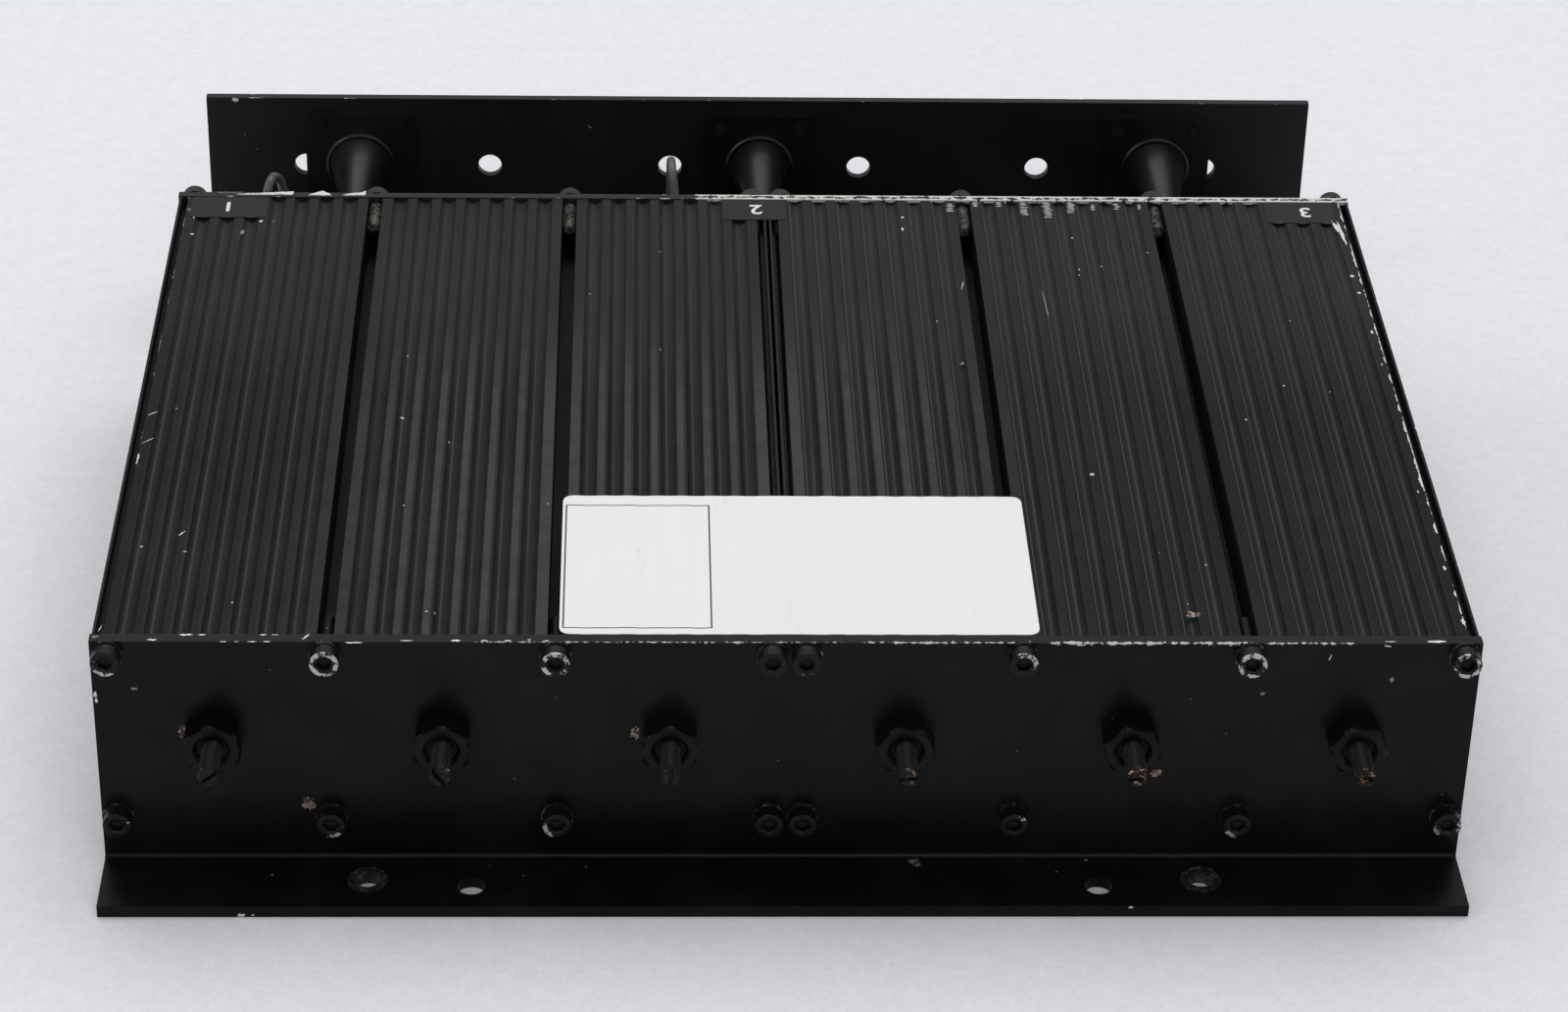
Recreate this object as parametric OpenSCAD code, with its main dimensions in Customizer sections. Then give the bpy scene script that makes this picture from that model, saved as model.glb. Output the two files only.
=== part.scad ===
// Six-cavity duplexer: two extruded cavity blocks clamped between a folded front
// plate, which carries the tuning screws, and a folded rear tray, which carries the
// coupling ports, the wiring and the connector panel.
// +X is to the right seen from the tuning side, +Y runs back to the connectors, +Z is up.
// The origin is the middle of the footprint, on the bench.

/* [Cavity blocks] */
// Width of the ribbed land over one cavity
land_w = 39.65; // [38:0.05:44]
// Width of the open screw slot between two cavities
slot_w = 3.2; // [3.1:0.1:5]
// Depth of the open screw slot
slot_d = 9; // [6:0.5:12]
// Width of the open slit beside each outer land
slit_w = 1.5; // [1:0.1:2]
// Width of the thin lip outside that slit
lip_w = 0.5; // [0.4:0.1:0.9]
// Height of a block
block_h = 42.4; // [38:0.2:48]
// Length of a block
block_l = 174.5; // [150:0.5:220]
// Gap between the two blocks
block_gap = 0.7; // [0.2:0.1:2]
// Height of the blocks above the bench
block_lift = 9.4; // [7:0.2:14]
// Thickness of the roof and the floor of a chamber, flutes included
roof_t = 3.2; // [2.6:0.1:4]
// Thickness of a chamber's side wall beside a slot
side_t = 1.8; // [1.4:0.1:2.4]
// Radius of a chamber's inner corners
chamber_r = 6; // [4.5:0.5:9]
// Distance between two flutes
flute_pitch = 5.3; // [4.8:0.1:5.4]
// Width of a flute at its mouth
flute_w = 3.4; // [2.6:0.1:3.8]
// Depth of a flute
flute_d = 1.05; // [0.7:0.05:1.4]

/* [Front plate] */
// Thickness of the front sheet
front_t = 2.5; // [1.5:0.1:3]
// Reach of the front flange ahead of the plate's face
flange_l = 15.8; // [14:0.1:24]
// Inside radius of every fold
fold_r = 1; // [0.5:0.1:2]
// How far the plates stand above the blocks
plate_rise = 0.2; // [0:0.1:1]
// How far the plates stand out past the blocks at each side
plate_side = 0.3; // [0:0.1:2]
// Distance of each threaded insert from the middle
insert_x = 79.5; // [60:0.5:100]
// Distance of the inserts ahead of the plate's face
insert_y = 7.7; // [6.5:0.1:9]
// Bore of a threaded insert
insert_bore = 4.9; // [3.2:0.1:5.2]
// Outside diameter of an insert's rim
insert_rim = 7.8; // [7.2:0.1:9]
// Distance of each plain flange hole from the middle
plain_x = 59.8; // [40:0.5:70]
// Distance of the plain holes ahead of the plate's face
plain_y = 9.3; // [6.5:0.1:10]
// Diameter of a plain flange hole
plain_d = 5.5; // [3:0.1:6]

/* [Rear tray] */
// Thickness of the rear sheet
rear_t = 2; // [1.2:0.1:2.6]
// Clear depth of the wiring bay
bay_l = 54; // [50:1:70]
// How much narrower the floor and the panel are than the rear plate
panel_inset = 2; // [0:0.5:6]
// How much lower the connector panel is than the rear plate
panel_drop = 3.5; // [0:0.5:5]
// Diameter of a driver hole through the panel
driver_d = 5.5; // [4:0.5:8]
// Height of the driver holes above the cavities' axis
driver_up = 0.6; // [-1:0.1:2]
// Diameter of a mounting hole in the tray's floor
floor_hole_d = 5.5; // [3:0.1:6]

/* [Tuning] */
// Diameter of a tuning screw
tuner_d = 4; // [3:0.5:5]
// Reach of a tuning screw ahead of the plate
tuner_out = 13.9; // [10:0.1:18]
// Travel of a tuning screw each way
tuner_travel = 3.5; // [1:0.5:4]
// Outside diameter of a threaded bush
bush_d = 6; // [5.8:0.2:8]
// How deep a bush ends inside its nut
bush_inset = 1; // [0.4:0.1:2]
// Width across flats of a lock nut
nut_af = 10; // [9:0.5:12]
// Thickness of a lock nut
nut_t = 5.2; // [3:0.1:7]
// Width of a screwdriver slot
driver_slot_w = 0.9; // [0.6:0.1:1.2]
// Diameter of a probe
probe_d = 7; // [6:0.5:8]
// Length of a probe
probe_l = 22; // [18:1:26]

/* [Resonators] */
// Outside diameter of a resonator
resonator_d = 12; // [11:0.5:14]
// Bore at the open end of a resonator
resonator_bore = 9.2; // [9:0.2:10]
// Depth of that bore
resonator_bore_l = 46; // [38:1:60]
// Gap from the front plate to the open end
open_gap = 21.5; // [18:0.5:26]
// Distance of a coupling port below the cavity's axis
port_drop = 11; // [10.6:0.1:12]
// Reach of a coupling loop into the cavity
loop_l = 19; // [12:1:30]
// Width of a coupling loop
loop_w = 10; // [6:0.5:12]
// Diameter of the loop wire
loop_d = 1.6; // [1:0.1:2]

/* [Fasteners] */
// Diameter of the clamping screws
cap_d = 3; // [2.5:0.1:3]
// Diameter of their heads
cap_head_d = 5.5; // [5:0.1:6]
// Height of their heads
cap_head_h = 3; // [2.5:0.1:3.5]
// Width across flats of their sockets
cap_socket = 2.5; // [2:0.1:3]
// Length of the shank under the head
cap_l = 12; // [8:0.5:16]
// Diameter of their washers
washer_d = 6.2; // [5.6:0.1:6.3]
// Thickness of their washers
washer_t = 0.5; // [0.3:0.1:1]
// Distance of the screws below the top of the blocks
cap_drop = 2.7; // [2.4:0.1:3.2]
// Distance of the outer screws from the side of a block
cap_inset = 2.85; // [2.4:0.05:3.2]

/* [Connectors] */
// Distance of the outer connectors from the middle
conn_x = 93.5; // [90:0.5:98]
// Height of the connectors above the cavities' axis
conn_up = 1.8; // [0:0.1:3]
// Side of the square flange
conn_flange = 25.4; // [24:0.1:27]
// Thickness of the square flange
conn_flange_t = 2.5; // [1.6:0.1:3.5]
// Distance between two of its screws
conn_pitch = 18.3; // [17:0.1:19]
// Thread diameter of a connector
conn_thread_d = 15.88; // [14:0.01:17]
// Reach of a connector behind the panel
conn_l = 17; // [14:0.5:20]
// Bore of the connector's mouth
conn_mouth_d = 8.4; // [8:0.1:9]
// Length of a hood's cone
hood_l = 20; // [14:1:22]
// Diameter of a hood's cone at its root
hood_root_d = 13.8; // [12:0.2:15]
// Diameter of a hood's cone at its tip
hood_tip_d = 6.6; // [6.2:0.2:8]

/* [Wiring] */
// Diameter of a coaxial lead
lead_d = 2; // [1.6:0.1:2]
// Bend radius of the leads
lead_bend = 4; // [3:0.1:4]
// Bend radius of the flat loops between two ports
link_bend = 9; // [6:0.5:12]
// How far a flat loop reaches into the bay
link_l = 42; // [30:1:44]

/* [Labels] */
// Width of the paper label
label_w = 90; // [60:1:100]
// Depth of the paper label
label_l = 49; // [30:1:60]
// Sideways place of the paper label
label_x = 2; // [-10:0.5:10]
// Thickness of the paper label
label_t = 0.15; // [0.1:0.05:0.3]
// Depth of the three tape labels
tape_l = 9.5; // [6:0.5:14]
// Thickness of the three tape labels
tape_t = 0.12; // [0.08:0.02:0.3]

/* [Hidden] */
cavities = [1, 2, 3, 4, 5, 6];
connectors = [1, 2, 3];
$fn = 48;

// clearances
run_fit = 0.05;      // each side of a turning or sliding piece
screw_fit = 0.15;    // each side of a clamped screw
cut = 1;             // how far a cut runs past the face it leaves

// blocks
corner_w = slit_w + lip_w;
block_w = 2 * corner_w + 3 * land_w + 2 * slot_w;
cavity_pitch = land_w + slot_w;
block_x = block_gap / 2 + block_w / 2;
block_top = block_lift + block_h;
axis_z = block_lift + block_h / 2;
chamber_w = land_w - 2 * side_t;
chamber_h = block_h - 2 * roof_t;
flute_n = 7;
flute_r = (pow(flute_w / 2, 2) + pow(flute_d, 2)) / (2 * flute_d);

// screws and nuts
insert_body_d = insert_rim - 1;
insert_rim_t = 0.35;
head_chamfer = 0.3;
tip_chamfer = 0.4;
nut_chamfer = 0.6;   // height of the turned corner of a nut
nut_face_in = 0.1;   // how far its flat face stays inside the flats

// plates, with y counted from the front face of the front plate
plate_w = 2 * block_w + block_gap + 2 * plate_side;
plate_h = block_top + plate_rise;
rear_y = front_t + block_l;
bay_y = rear_y + rear_t;
panel_y = bay_y + bay_l;
back_y = panel_y + rear_t;
panel_w = plate_w - panel_inset;
panel_h = plate_h - panel_drop;
mid_y = (back_y + conn_l - flange_l) / 2;

// places that repeat
cavity_x = [for (n = [0 : 5]) (n < 3 ? -block_x : block_x) + (n % 3 - 1) * cavity_pitch];
cap_x_in_block = [-block_w / 2 + cap_inset, -cavity_pitch / 2, cavity_pitch / 2, block_w / 2 - cap_inset];
cap_x = [for (side = [-1, 1], x = cap_x_in_block) side * block_x + x];
cap_z = [block_lift + cap_drop, block_top - cap_drop];
connector_x = [-conn_x, 0, conn_x];
conn_z = axis_z + conn_up;
conn_corners = [for (a = [-1, 1], b = [-1, 1]) [a, b] * conn_pitch / 2];
driver_shift = [1.5, 1.7, 1.2, 1.3, 0.6, -2.6];  // each driver hole was drilled a little off its cavity
driver_z = axis_z + driver_up;

// tuning, in order from the left as seen from the tuning side
nut_turn = [4, -3, 0, 24, 17, 23];               // how far each nut is turned from point up
slot_turn = [35, -52, 88, 4, 6, -4];             // how far each screwdriver slot is turned from level
slot_deep = 1.5;
tuner_chamfer = 0.3;
pilot_d = tuner_d - 1;
pilot_l = 4;
bush_collar_d = bush_d + 4;
bush_collar_t = 2;
probe_y = front_t + bush_collar_t + tuner_travel + 0.5;
foot_screw_d = 4;
foot_screw_l = 12;
foot_head_d = 7;
foot_head_h = 2.6;
foot_slot_w = 1;
foot_slot_deep = 1.2;

// coupling ports
port_z = axis_z - port_drop;
port_stem_d = 5;
port_collar_d = 7;
port_collar_t = 1;
port_base_d = 10;
port_base_t = 1.5;
port_barrel_d = 8.6;
port_barrel_l = 3.5;
sleeve_d = 3.2;
sleeve_l = 3;
sleeve_x = 2.6;
port_end_y = bay_y + port_base_t + port_barrel_l + sleeve_l;

// hoods
hood_plate_t = 1.2;
hood_ring_d = 16;
hood_ring_t = 1.6;
hood_wall = 1;
hood_chamfer = 0.4;
neck_d = 5.2;
neck_l = 4;
neck_y = panel_y - hood_plate_t - hood_ring_t - hood_l - neck_l;
twin_x = 1.2;                                    // half the distance between two leads in one neck

// leads: sides of a tube, and the turn between two of its rings in a bend
lead_sides = 10;
bend_step = 18;
// how far ahead of a hood's neck a lead bends down, and how far it drops there
hood_turn = 10;
left_drop = 9;
right_drop = 10;
twin_left_drop = 20;
twin_right_drop = 18;
// straight length in which a lead leaves its port, and its bends counted from the port
lead_straight = 1.6;
left_outer_bends = [[-1.8, 8, 0.4], [-1.8, 8, 26], [0.4, 14.5, 26], [4.5, 14.5, 4.5]];
left_inner_bends = [[2, 7, 0.4], [-1.2, 17, 26], [-1.4, 25, 25], [-1.4, 24, -8]];
right_inner_bends = [[0, 11, -3]];
right_outer_bends = [[0, 9, 6]];

// connector inside
spigot_d = 12;
conn_shoulder_d = 17;
conn_shoulder_l = 2.5;
conn_chamfer = 0.8;
mouth_l = 10;
bead_d = 7;
contact_d = 3;
contact_bore = 1.7;
contact_back = 7;
contact_short = 4;   // how far it ends inside the mouth's face
contact_bore_l = 5;
contact_slot_w = 0.35;
contact_slot_l = 4;
solder_cup_l = 3;
flange_corner_r = 2;
screw_d = 2.9;
pan_head_d = 5.5;
pan_head_h = 1.8;
pan_edge = 0.8;
cross_w = 0.7;
cross_l = 2.8;
cross_deep = 1;
screw_past = 0.6;     // how far a connector's screw stands out of the hood's plate

// labels
label_margin = 0.3;
label_corner_r = 2;
tape_spans = [[-126.6, -110.1], [-9.8, 4.1], [110.7, 125.9]];

module at_place() {
    translate([0, -mid_y, 0]) children();
}

// turns a shape drawn along +Z so that it runs back, along +Y
module back_from(x, y, z) {
    translate([x, y, z]) rotate([-90, 0, 0]) children();
}

// turns a shape drawn along +Z so that it runs forward, along -Y
module forward_from(x, y, z) {
    translate([x, y, z]) rotate([90, 0, 0]) children();
}

module rounded_square(w, h, r) {
    square([w - 2 * r, h], center = true);
    square([w, h - 2 * r], center = true);
    for (a = [-1, 1], b = [-1, 1])
        translate([a * (w / 2 - r), b * (h / 2 - r)]) circle(r);
}

module hex_prism(af, h) {
    cylinder(h = h, d = af / cos(30), $fn = 6);
}

// hexagon nut with its outer corners turned down
module nut(af, bore, t) {
    corner = af / cos(30) / 2;
    difference() {
        intersection() {
            hex_prism(af, t);
            rotate_extrude()
                polygon([[0, 0], [corner, 0], [corner, t - nut_chamfer], [af / 2 - nut_face_in, t], [0, t]]);
        }
        translate([0, 0, -cut]) cylinder(h = t + 2 * cut, d = bore);
    }
}

// Blocks

// section of one extrusion, centred on its own axis
module block_section() {
    difference() {
        square([block_w, block_h], center = true);
        for (n = [-1 : 1])
            translate([n * cavity_pitch, 0]) {
                rounded_square(chamber_w, chamber_h, chamber_r);
                for (side = [-1, 1], k = [0 : flute_n - 1])
                    translate([(k - (flute_n - 1) / 2) * flute_pitch,
                               side * (block_h / 2 + flute_r - flute_d)])
                        circle(flute_r);
            }
        for (side = [-1, 1]) {
            for (x = [-cavity_pitch / 2, cavity_pitch / 2])
                translate([x, side * (block_h / 2 - slot_d / 2 + cut / 2)])
                    square([slot_w, slot_d + cut], center = true);
            for (edge = [-1, 1]) {
                translate([edge * (block_w / 2 - cap_inset), side * (block_h / 2 - cap_drop)])
                    circle(cap_d / 2 + run_fit);
                translate([edge * (block_w / 2 - lip_w - slit_w / 2),
                           side * (block_h / 2 - cap_drop / 2 + cut / 2)])
                    square([slit_w, cap_drop + cut], center = true);
            }
        }
    }
}

module block(x) {
    color([0.13, 0.13, 0.13])
        at_place()
            forward_from(x, front_t + block_l, axis_z)
                linear_extrude(block_l) block_section();
}

// Sheet metal

// quarter of a folded corner, drawn in the first quadrant round its own centre
module fold_section(t) {
    intersection() {
        difference() {
            circle(fold_r + t);
            circle(fold_r);
        }
        square(fold_r + t);
    }
}

// draws a section of y and z, and runs it along X over a width
module folded(w) {
    rotate([90, 0, 90]) linear_extrude(w, center = true) children();
}

module front_section() {
    translate([0, front_t + fold_r]) square([front_t, plate_h - front_t - fold_r]);
    translate([-flange_l, 0]) square([flange_l - fold_r, front_t]);
    translate([-fold_r, front_t + fold_r]) mirror([0, 1]) fold_section(front_t);
}

module front_plate() {
    color([0.09, 0.09, 0.1])
        at_place()
            difference() {
                folded(plate_w) front_section();
                for (x = cap_x, z = cap_z)
                    back_from(x, -cut, z) cylinder(h = front_t + 2 * cut, d = cap_d + 2 * screw_fit);
                for (x = cavity_x)
                    back_from(x, -cut, axis_z) cylinder(h = front_t + 2 * cut, d = bush_d + 2 * run_fit);
                for (side = [-1, 1]) {
                    translate([side * insert_x, -insert_y, -cut])
                        cylinder(h = front_t + 2 * cut, d = insert_body_d);
                    translate([side * plain_x, -plain_y, -cut])
                        cylinder(h = front_t + 2 * cut, d = plain_d);
                }
            }
}

module flange_inserts() {
    color([0.6, 0.6, 0.58])
        at_place()
            for (side = [-1, 1])
                translate([side * insert_x, -insert_y, 0])
                    difference() {
                        union() {
                            cylinder(h = front_t + insert_rim_t, d = insert_body_d);
                            translate([0, 0, front_t]) cylinder(h = insert_rim_t, d = insert_rim);
                        }
                        translate([0, 0, -cut])
                            cylinder(h = front_t + insert_rim_t + 2 * cut, d = insert_bore);
                    }
}

module rear_plate_section() {
    translate([rear_y, rear_t + fold_r]) square([rear_t, plate_h - rear_t - fold_r]);
    translate([bay_y + fold_r, rear_t + fold_r]) mirror([1, 0]) mirror([0, 1]) fold_section(rear_t);
}

module panel_section() {
    translate([bay_y + fold_r, 0]) square([bay_l - 2 * fold_r, rear_t]);
    translate([panel_y - fold_r, rear_t + fold_r]) mirror([0, 1]) fold_section(rear_t);
    translate([panel_y, rear_t + fold_r]) square([rear_t, panel_h - rear_t - fold_r]);
}

module rear_tray() {
    color([0.09, 0.09, 0.1])
        at_place()
            difference() {
                union() {
                    folded(plate_w) rear_plate_section();
                    folded(panel_w) panel_section();
                }
                for (x = cap_x, z = cap_z)
                    back_from(x, rear_y - cut, z) cylinder(h = rear_t + 2 * cut, d = cap_d + 2 * screw_fit);
                for (x = cavity_x) {
                    back_from(x, rear_y - cut, axis_z)
                        cylinder(h = rear_t + 2 * cut, d = foot_screw_d + 2 * screw_fit);
                    back_from(x, rear_y - cut, port_z)
                        cylinder(h = rear_t + 2 * cut, d = port_stem_d + 2 * run_fit);
                }
                for (n = [0 : 5])
                    back_from(cavity_x[n] + driver_shift[n], panel_y - cut, driver_z)
                        cylinder(h = rear_t + 2 * cut, d = driver_d);
                for (x = connector_x) {
                    back_from(x, panel_y - cut, conn_z)
                        cylinder(h = rear_t + 2 * cut, d = spigot_d + 2 * run_fit);
                    for (c = conn_corners)
                        back_from(x + c[0], panel_y - cut, conn_z + c[1])
                            cylinder(h = rear_t + 2 * cut, d = screw_d + 2 * screw_fit);
                }
                for (side = [-1, 1])
                    translate([side * insert_x, bay_y + bay_l / 2, -cut])
                        cylinder(h = rear_t + 2 * cut, d = floor_hole_d);
            }
}

// Clamping screws

// socket cap screw with the seat of its head at z = 0 and its shank along +Z
module cap_screw() {
    difference() {
        union() {
            rotate_extrude()
                polygon([[0, -cap_head_h], [cap_head_d / 2 - head_chamfer, -cap_head_h],
                         [cap_head_d / 2, head_chamfer - cap_head_h], [cap_head_d / 2, 0], [0, 0]]);
            cylinder(h = cap_l - tip_chamfer, d = cap_d);
            translate([0, 0, cap_l - tip_chamfer])
                cylinder(h = tip_chamfer, d1 = cap_d, d2 = cap_d - 2 * tip_chamfer);
        }
        translate([0, 0, -cap_head_h - cut]) hex_prism(cap_socket, cap_head_h / 2 + cut);
    }
}

module washer() {
    difference() {
        cylinder(h = washer_t, d = washer_d);
        translate([0, 0, -cut]) cylinder(h = washer_t + 2 * cut, d = cap_d + 2 * screw_fit);
    }
}

module front_cap_screws() {
    color([0.35, 0.35, 0.33])
        at_place()
            for (x = cap_x, z = cap_z) back_from(x, -washer_t, z) cap_screw();
}

module front_washers() {
    color([0.3, 0.3, 0.3])
        at_place()
            for (x = cap_x, z = cap_z) back_from(x, -washer_t, z) washer();
}

module rear_cap_screws() {
    color([0.35, 0.33, 0.3])
        at_place()
            for (x = cap_x, z = cap_z) forward_from(x, bay_y + washer_t, z) cap_screw();
}

module rear_washers() {
    color([0.3, 0.3, 0.3])
        at_place()
            for (x = cap_x, z = cap_z) back_from(x, bay_y, z) washer();
}

// Tuning

module tuning_bush(n) {
    barrel_l = nut_t - bush_inset + front_t;
    color([0.2, 0.19, 0.17])
        at_place()
            back_from(cavity_x[n - 1], bush_inset - nut_t, axis_z)
                difference() {
                    union() {
                        cylinder(h = barrel_l + bush_collar_t, d = bush_d);
                        translate([0, 0, barrel_l]) cylinder(h = bush_collar_t, d = bush_collar_d);
                    }
                    translate([0, 0, -cut])
                        cylinder(h = barrel_l + bush_collar_t + 2 * cut, d = tuner_d + 2 * run_fit);
                }
}

module lock_nuts() {
    color([0.12, 0.12, 0.12])
        at_place()
            for (n = cavities)
                forward_from(cavity_x[n - 1], 0, axis_z)
                    rotate([0, 0, 90 + nut_turn[n - 1]]) nut(nut_af, bush_d + 2 * run_fit, nut_t);
}

module tuning_screw(n) {
    color([0.45, 0.4, 0.33])
        at_place()
            back_from(cavity_x[n - 1], -tuner_out, axis_z)
                difference() {
                    union() {
                        cylinder(h = tuner_chamfer, d1 = tuner_d - 2 * tuner_chamfer, d2 = tuner_d);
                        translate([0, 0, tuner_chamfer])
                            cylinder(h = probe_y + tuner_out - tuner_chamfer, d = tuner_d);
                        translate([0, 0, probe_y + tuner_out]) cylinder(h = pilot_l - run_fit, d = pilot_d);
                    }
                    rotate([0, 0, -slot_turn[n - 1]])
                        translate([0, 0, (slot_deep - cut) / 2])
                            cube([tuner_d + cut, driver_slot_w, slot_deep + cut], center = true);
                }
}

module tuning_probe(n) {
    color([0.72, 0.58, 0.3])
        at_place()
            back_from(cavity_x[n - 1], probe_y, axis_z)
                difference() {
                    cylinder(h = probe_l, d = probe_d);
                    translate([0, 0, -cut]) cylinder(h = pilot_l + cut, d = pilot_d + 2 * run_fit);
                }
}

// Resonators and coupling

module resonator(n) {
    length = block_l - open_gap;
    color([0.75, 0.6, 0.32])
        at_place()
            forward_from(cavity_x[n - 1], rear_y, axis_z)
                difference() {
                    cylinder(h = length, d = resonator_d);
                    translate([0, 0, length - resonator_bore_l])
                        cylinder(h = resonator_bore_l + cut, d = resonator_bore);
                    translate([0, 0, -cut]) cylinder(h = foot_screw_l + cut, d = foot_screw_d + 2 * run_fit);
                }
}

module resonator_screws() {
    color([0.55, 0.55, 0.53])
        at_place()
            for (x = cavity_x)
                forward_from(x, bay_y, axis_z)
                    difference() {
                        union() {
                            cylinder(h = foot_screw_l - cut, d = foot_screw_d);
                            rotate_extrude()
                                polygon([[0, -foot_head_h], [foot_head_d / 2 - pan_edge, -foot_head_h],
                                         [foot_head_d / 2, -foot_head_h / 2], [foot_head_d / 2, 0], [0, 0]]);
                        }
                        translate([0, 0, -foot_head_h])
                            cube([foot_head_d + cut, foot_slot_w, 2 * foot_slot_deep], center = true);
                    }
}

module coupling_port(n) {
    stem_l = port_collar_t + rear_t;
    color([0.72, 0.6, 0.35])
        at_place()
            back_from(cavity_x[n - 1], rear_y - port_collar_t, port_z) {
                cylinder(h = port_collar_t, d = port_collar_d);
                cylinder(h = stem_l, d = port_stem_d);
                translate([0, 0, stem_l]) cylinder(h = port_base_t, d = port_base_d);
                translate([0, 0, stem_l]) cylinder(h = port_base_t + port_barrel_l, d = port_barrel_d);
                for (side = [-1, 1])
                    translate([side * sleeve_x, 0, stem_l + port_base_t + port_barrel_l])
                        cylinder(h = sleeve_l, d = sleeve_d);
            }
}

// wire hairpins, each from its port's collar back to the rear plate beside it
module coupling_loops() {
    straight = loop_l - loop_w / 2;
    color([0.75, 0.5, 0.3])
        at_place()
            for (x = cavity_x)
                translate([x, rear_y, port_z]) {
                    forward_from(0, -port_collar_t, 0) cylinder(h = straight - port_collar_t, d = loop_d);
                    forward_from(loop_w, 0, 0) cylinder(h = straight, d = loop_d);
                    translate([loop_w / 2, -straight, 0])
                        rotate([0, 0, 180]) rotate_extrude(angle = 180)
                            translate([loop_w / 2, 0]) circle(d = loop_d);
                }
}

// Connectors

module flange_plate(t, hole_d) {
    difference() {
        linear_extrude(t) rounded_square(conn_flange, conn_flange, flange_corner_r);
        for (c = conn_corners)
            translate([c[0], c[1], -cut]) cylinder(h = t + 2 * cut, d = hole_d);
    }
}

module connector(n) {
    back = conn_flange_t + conn_shoulder_l;
    color([0.7, 0.7, 0.68])
        at_place()
            back_from(connector_x[n - 1], back_y, conn_z)
                difference() {
                    union() {
                        translate([0, 0, -rear_t]) cylinder(h = rear_t + cut, d = spigot_d);
                        flange_plate(conn_flange_t, screw_d + 2 * screw_fit);
                        cylinder(h = back, d = conn_shoulder_d);
                        rotate_extrude()
                            polygon([[0, 0], [conn_thread_d / 2, 0],
                                     [conn_thread_d / 2, conn_l - conn_chamfer],
                                     [conn_thread_d / 2 - conn_chamfer, conn_l], [0, conn_l]]);
                    }
                    translate([0, 0, conn_l - mouth_l]) cylinder(h = mouth_l + cut, d = conn_mouth_d);
                    translate([0, 0, -rear_t - cut]) cylinder(h = conn_l, d = bead_d + 2 * run_fit);
                }
}

module connector_insulators() {
    color([0.92, 0.92, 0.9])
        at_place()
            for (x = connector_x)
                back_from(x, panel_y, conn_z)
                    difference() {
                        cylinder(h = rear_t + conn_l - mouth_l, d = bead_d);
                        translate([0, 0, -cut])
                            cylinder(h = rear_t + conn_l - mouth_l + 2 * cut, d = contact_d + 2 * run_fit);
                    }
}

module connector_contacts() {
    length = contact_back + rear_t + conn_l - contact_short;
    color([0.8, 0.66, 0.3])
        at_place()
            for (x = connector_x)
                back_from(x, panel_y - contact_back, conn_z)
                    difference() {
                        cylinder(h = length, d = contact_d);
                        translate([0, 0, length - contact_bore_l])
                            cylinder(h = contact_bore_l + cut, d = contact_bore);
                        for (turn = [0, 90])
                            rotate([0, 0, turn])
                                translate([0, 0, length + (cut - contact_slot_l) / 2])
                                    cube([contact_d + cut, contact_slot_w, contact_slot_l + cut], center = true);
                        translate([0, 0, -cut]) cylinder(h = solder_cup_l + cut, d = contact_bore);
                    }
}

// cable hood: square plate with four tapped holes, raised ring, hollow cone and neck
module connector_hood(n) {
    root = hood_plate_t + hood_ring_t;
    tip = root + hood_l;
    neck_holes = n == 2 ? [-twin_x, twin_x] : [0];
    color([0.14, 0.14, 0.14])
        at_place()
            forward_from(connector_x[n - 1], panel_y, conn_z)
                difference() {
                    union() {
                        flange_plate(hood_plate_t, screw_d + 2 * run_fit);
                        rotate_extrude()
                            polygon([[0, 0], [hood_ring_d / 2, 0], [hood_ring_d / 2, root - hood_chamfer],
                                     [hood_ring_d / 2 - hood_chamfer, root], [hood_root_d / 2, root],
                                     [hood_tip_d / 2, tip], [neck_d / 2, tip],
                                     [neck_d / 2, tip + neck_l], [0, tip + neck_l]]);
                    }
                    rotate_extrude()
                        polygon([[0, -cut], [hood_root_d / 2 - hood_wall, -cut],
                                 [hood_root_d / 2 - hood_wall, root],
                                 [hood_tip_d / 2 - hood_wall, tip - hood_wall], [0, tip - hood_wall]]);
                    for (x = neck_holes)
                        translate([x, 0, tip - 2 * hood_wall])
                            cylinder(h = neck_l + 2 * hood_wall + cut, d = lead_d + 2 * run_fit);
                }
}

module connector_screws() {
    length = conn_flange_t + rear_t + hood_plate_t + screw_past;
    color([0.6, 0.6, 0.58])
        at_place()
            for (x = connector_x, c = conn_corners)
                forward_from(x + c[0], back_y + conn_flange_t, conn_z + c[1])
                    difference() {
                        union() {
                            cylinder(h = length, d = screw_d);
                            rotate_extrude()
                                polygon([[0, -pan_head_h], [pan_head_d / 2 - pan_edge, -pan_head_h],
                                         [pan_head_d / 2, -pan_head_h / 3], [pan_head_d / 2, 0], [0, 0]]);
                        }
                        for (turn = [0, 90])
                            rotate([0, 0, turn])
                                translate([0, 0, -pan_head_h])
                                    cube([cross_l, cross_w, 2 * cross_deep], center = true);
                    }
}

// Wiring

function unit(v) = v / norm(v);

function half_angle(p, c, n) = acos(unit(p - c) * unit(n - c)) / 2;

// the bend at c as points on its arc, between the run from p and the run to n
function arc_points(p, c, n, r) =
    let (a = unit(p - c), b = unit(n - c), half = half_angle(p, c, n))
    let (centre = c + unit(a + b) * r / sin(half), turn = 180 - 2 * half)
    let (ex = unit(c + a * r / tan(half) - centre), steps = max(1, ceil(turn / bend_step)))
    [for (k = [0 : steps]) centre + r * (ex * cos(turn * k / steps) - a * sin(turn * k / steps))];

// corner points turned into a path with a round bend at each inner one
function rounded_path(points, r) =
    let (last = len(points) - 1)
    [points[0],
     for (k = [1 : last - 1]) each arc_points(points[k - 1], points[k], points[k + 1], r),
     points[last]];

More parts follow.
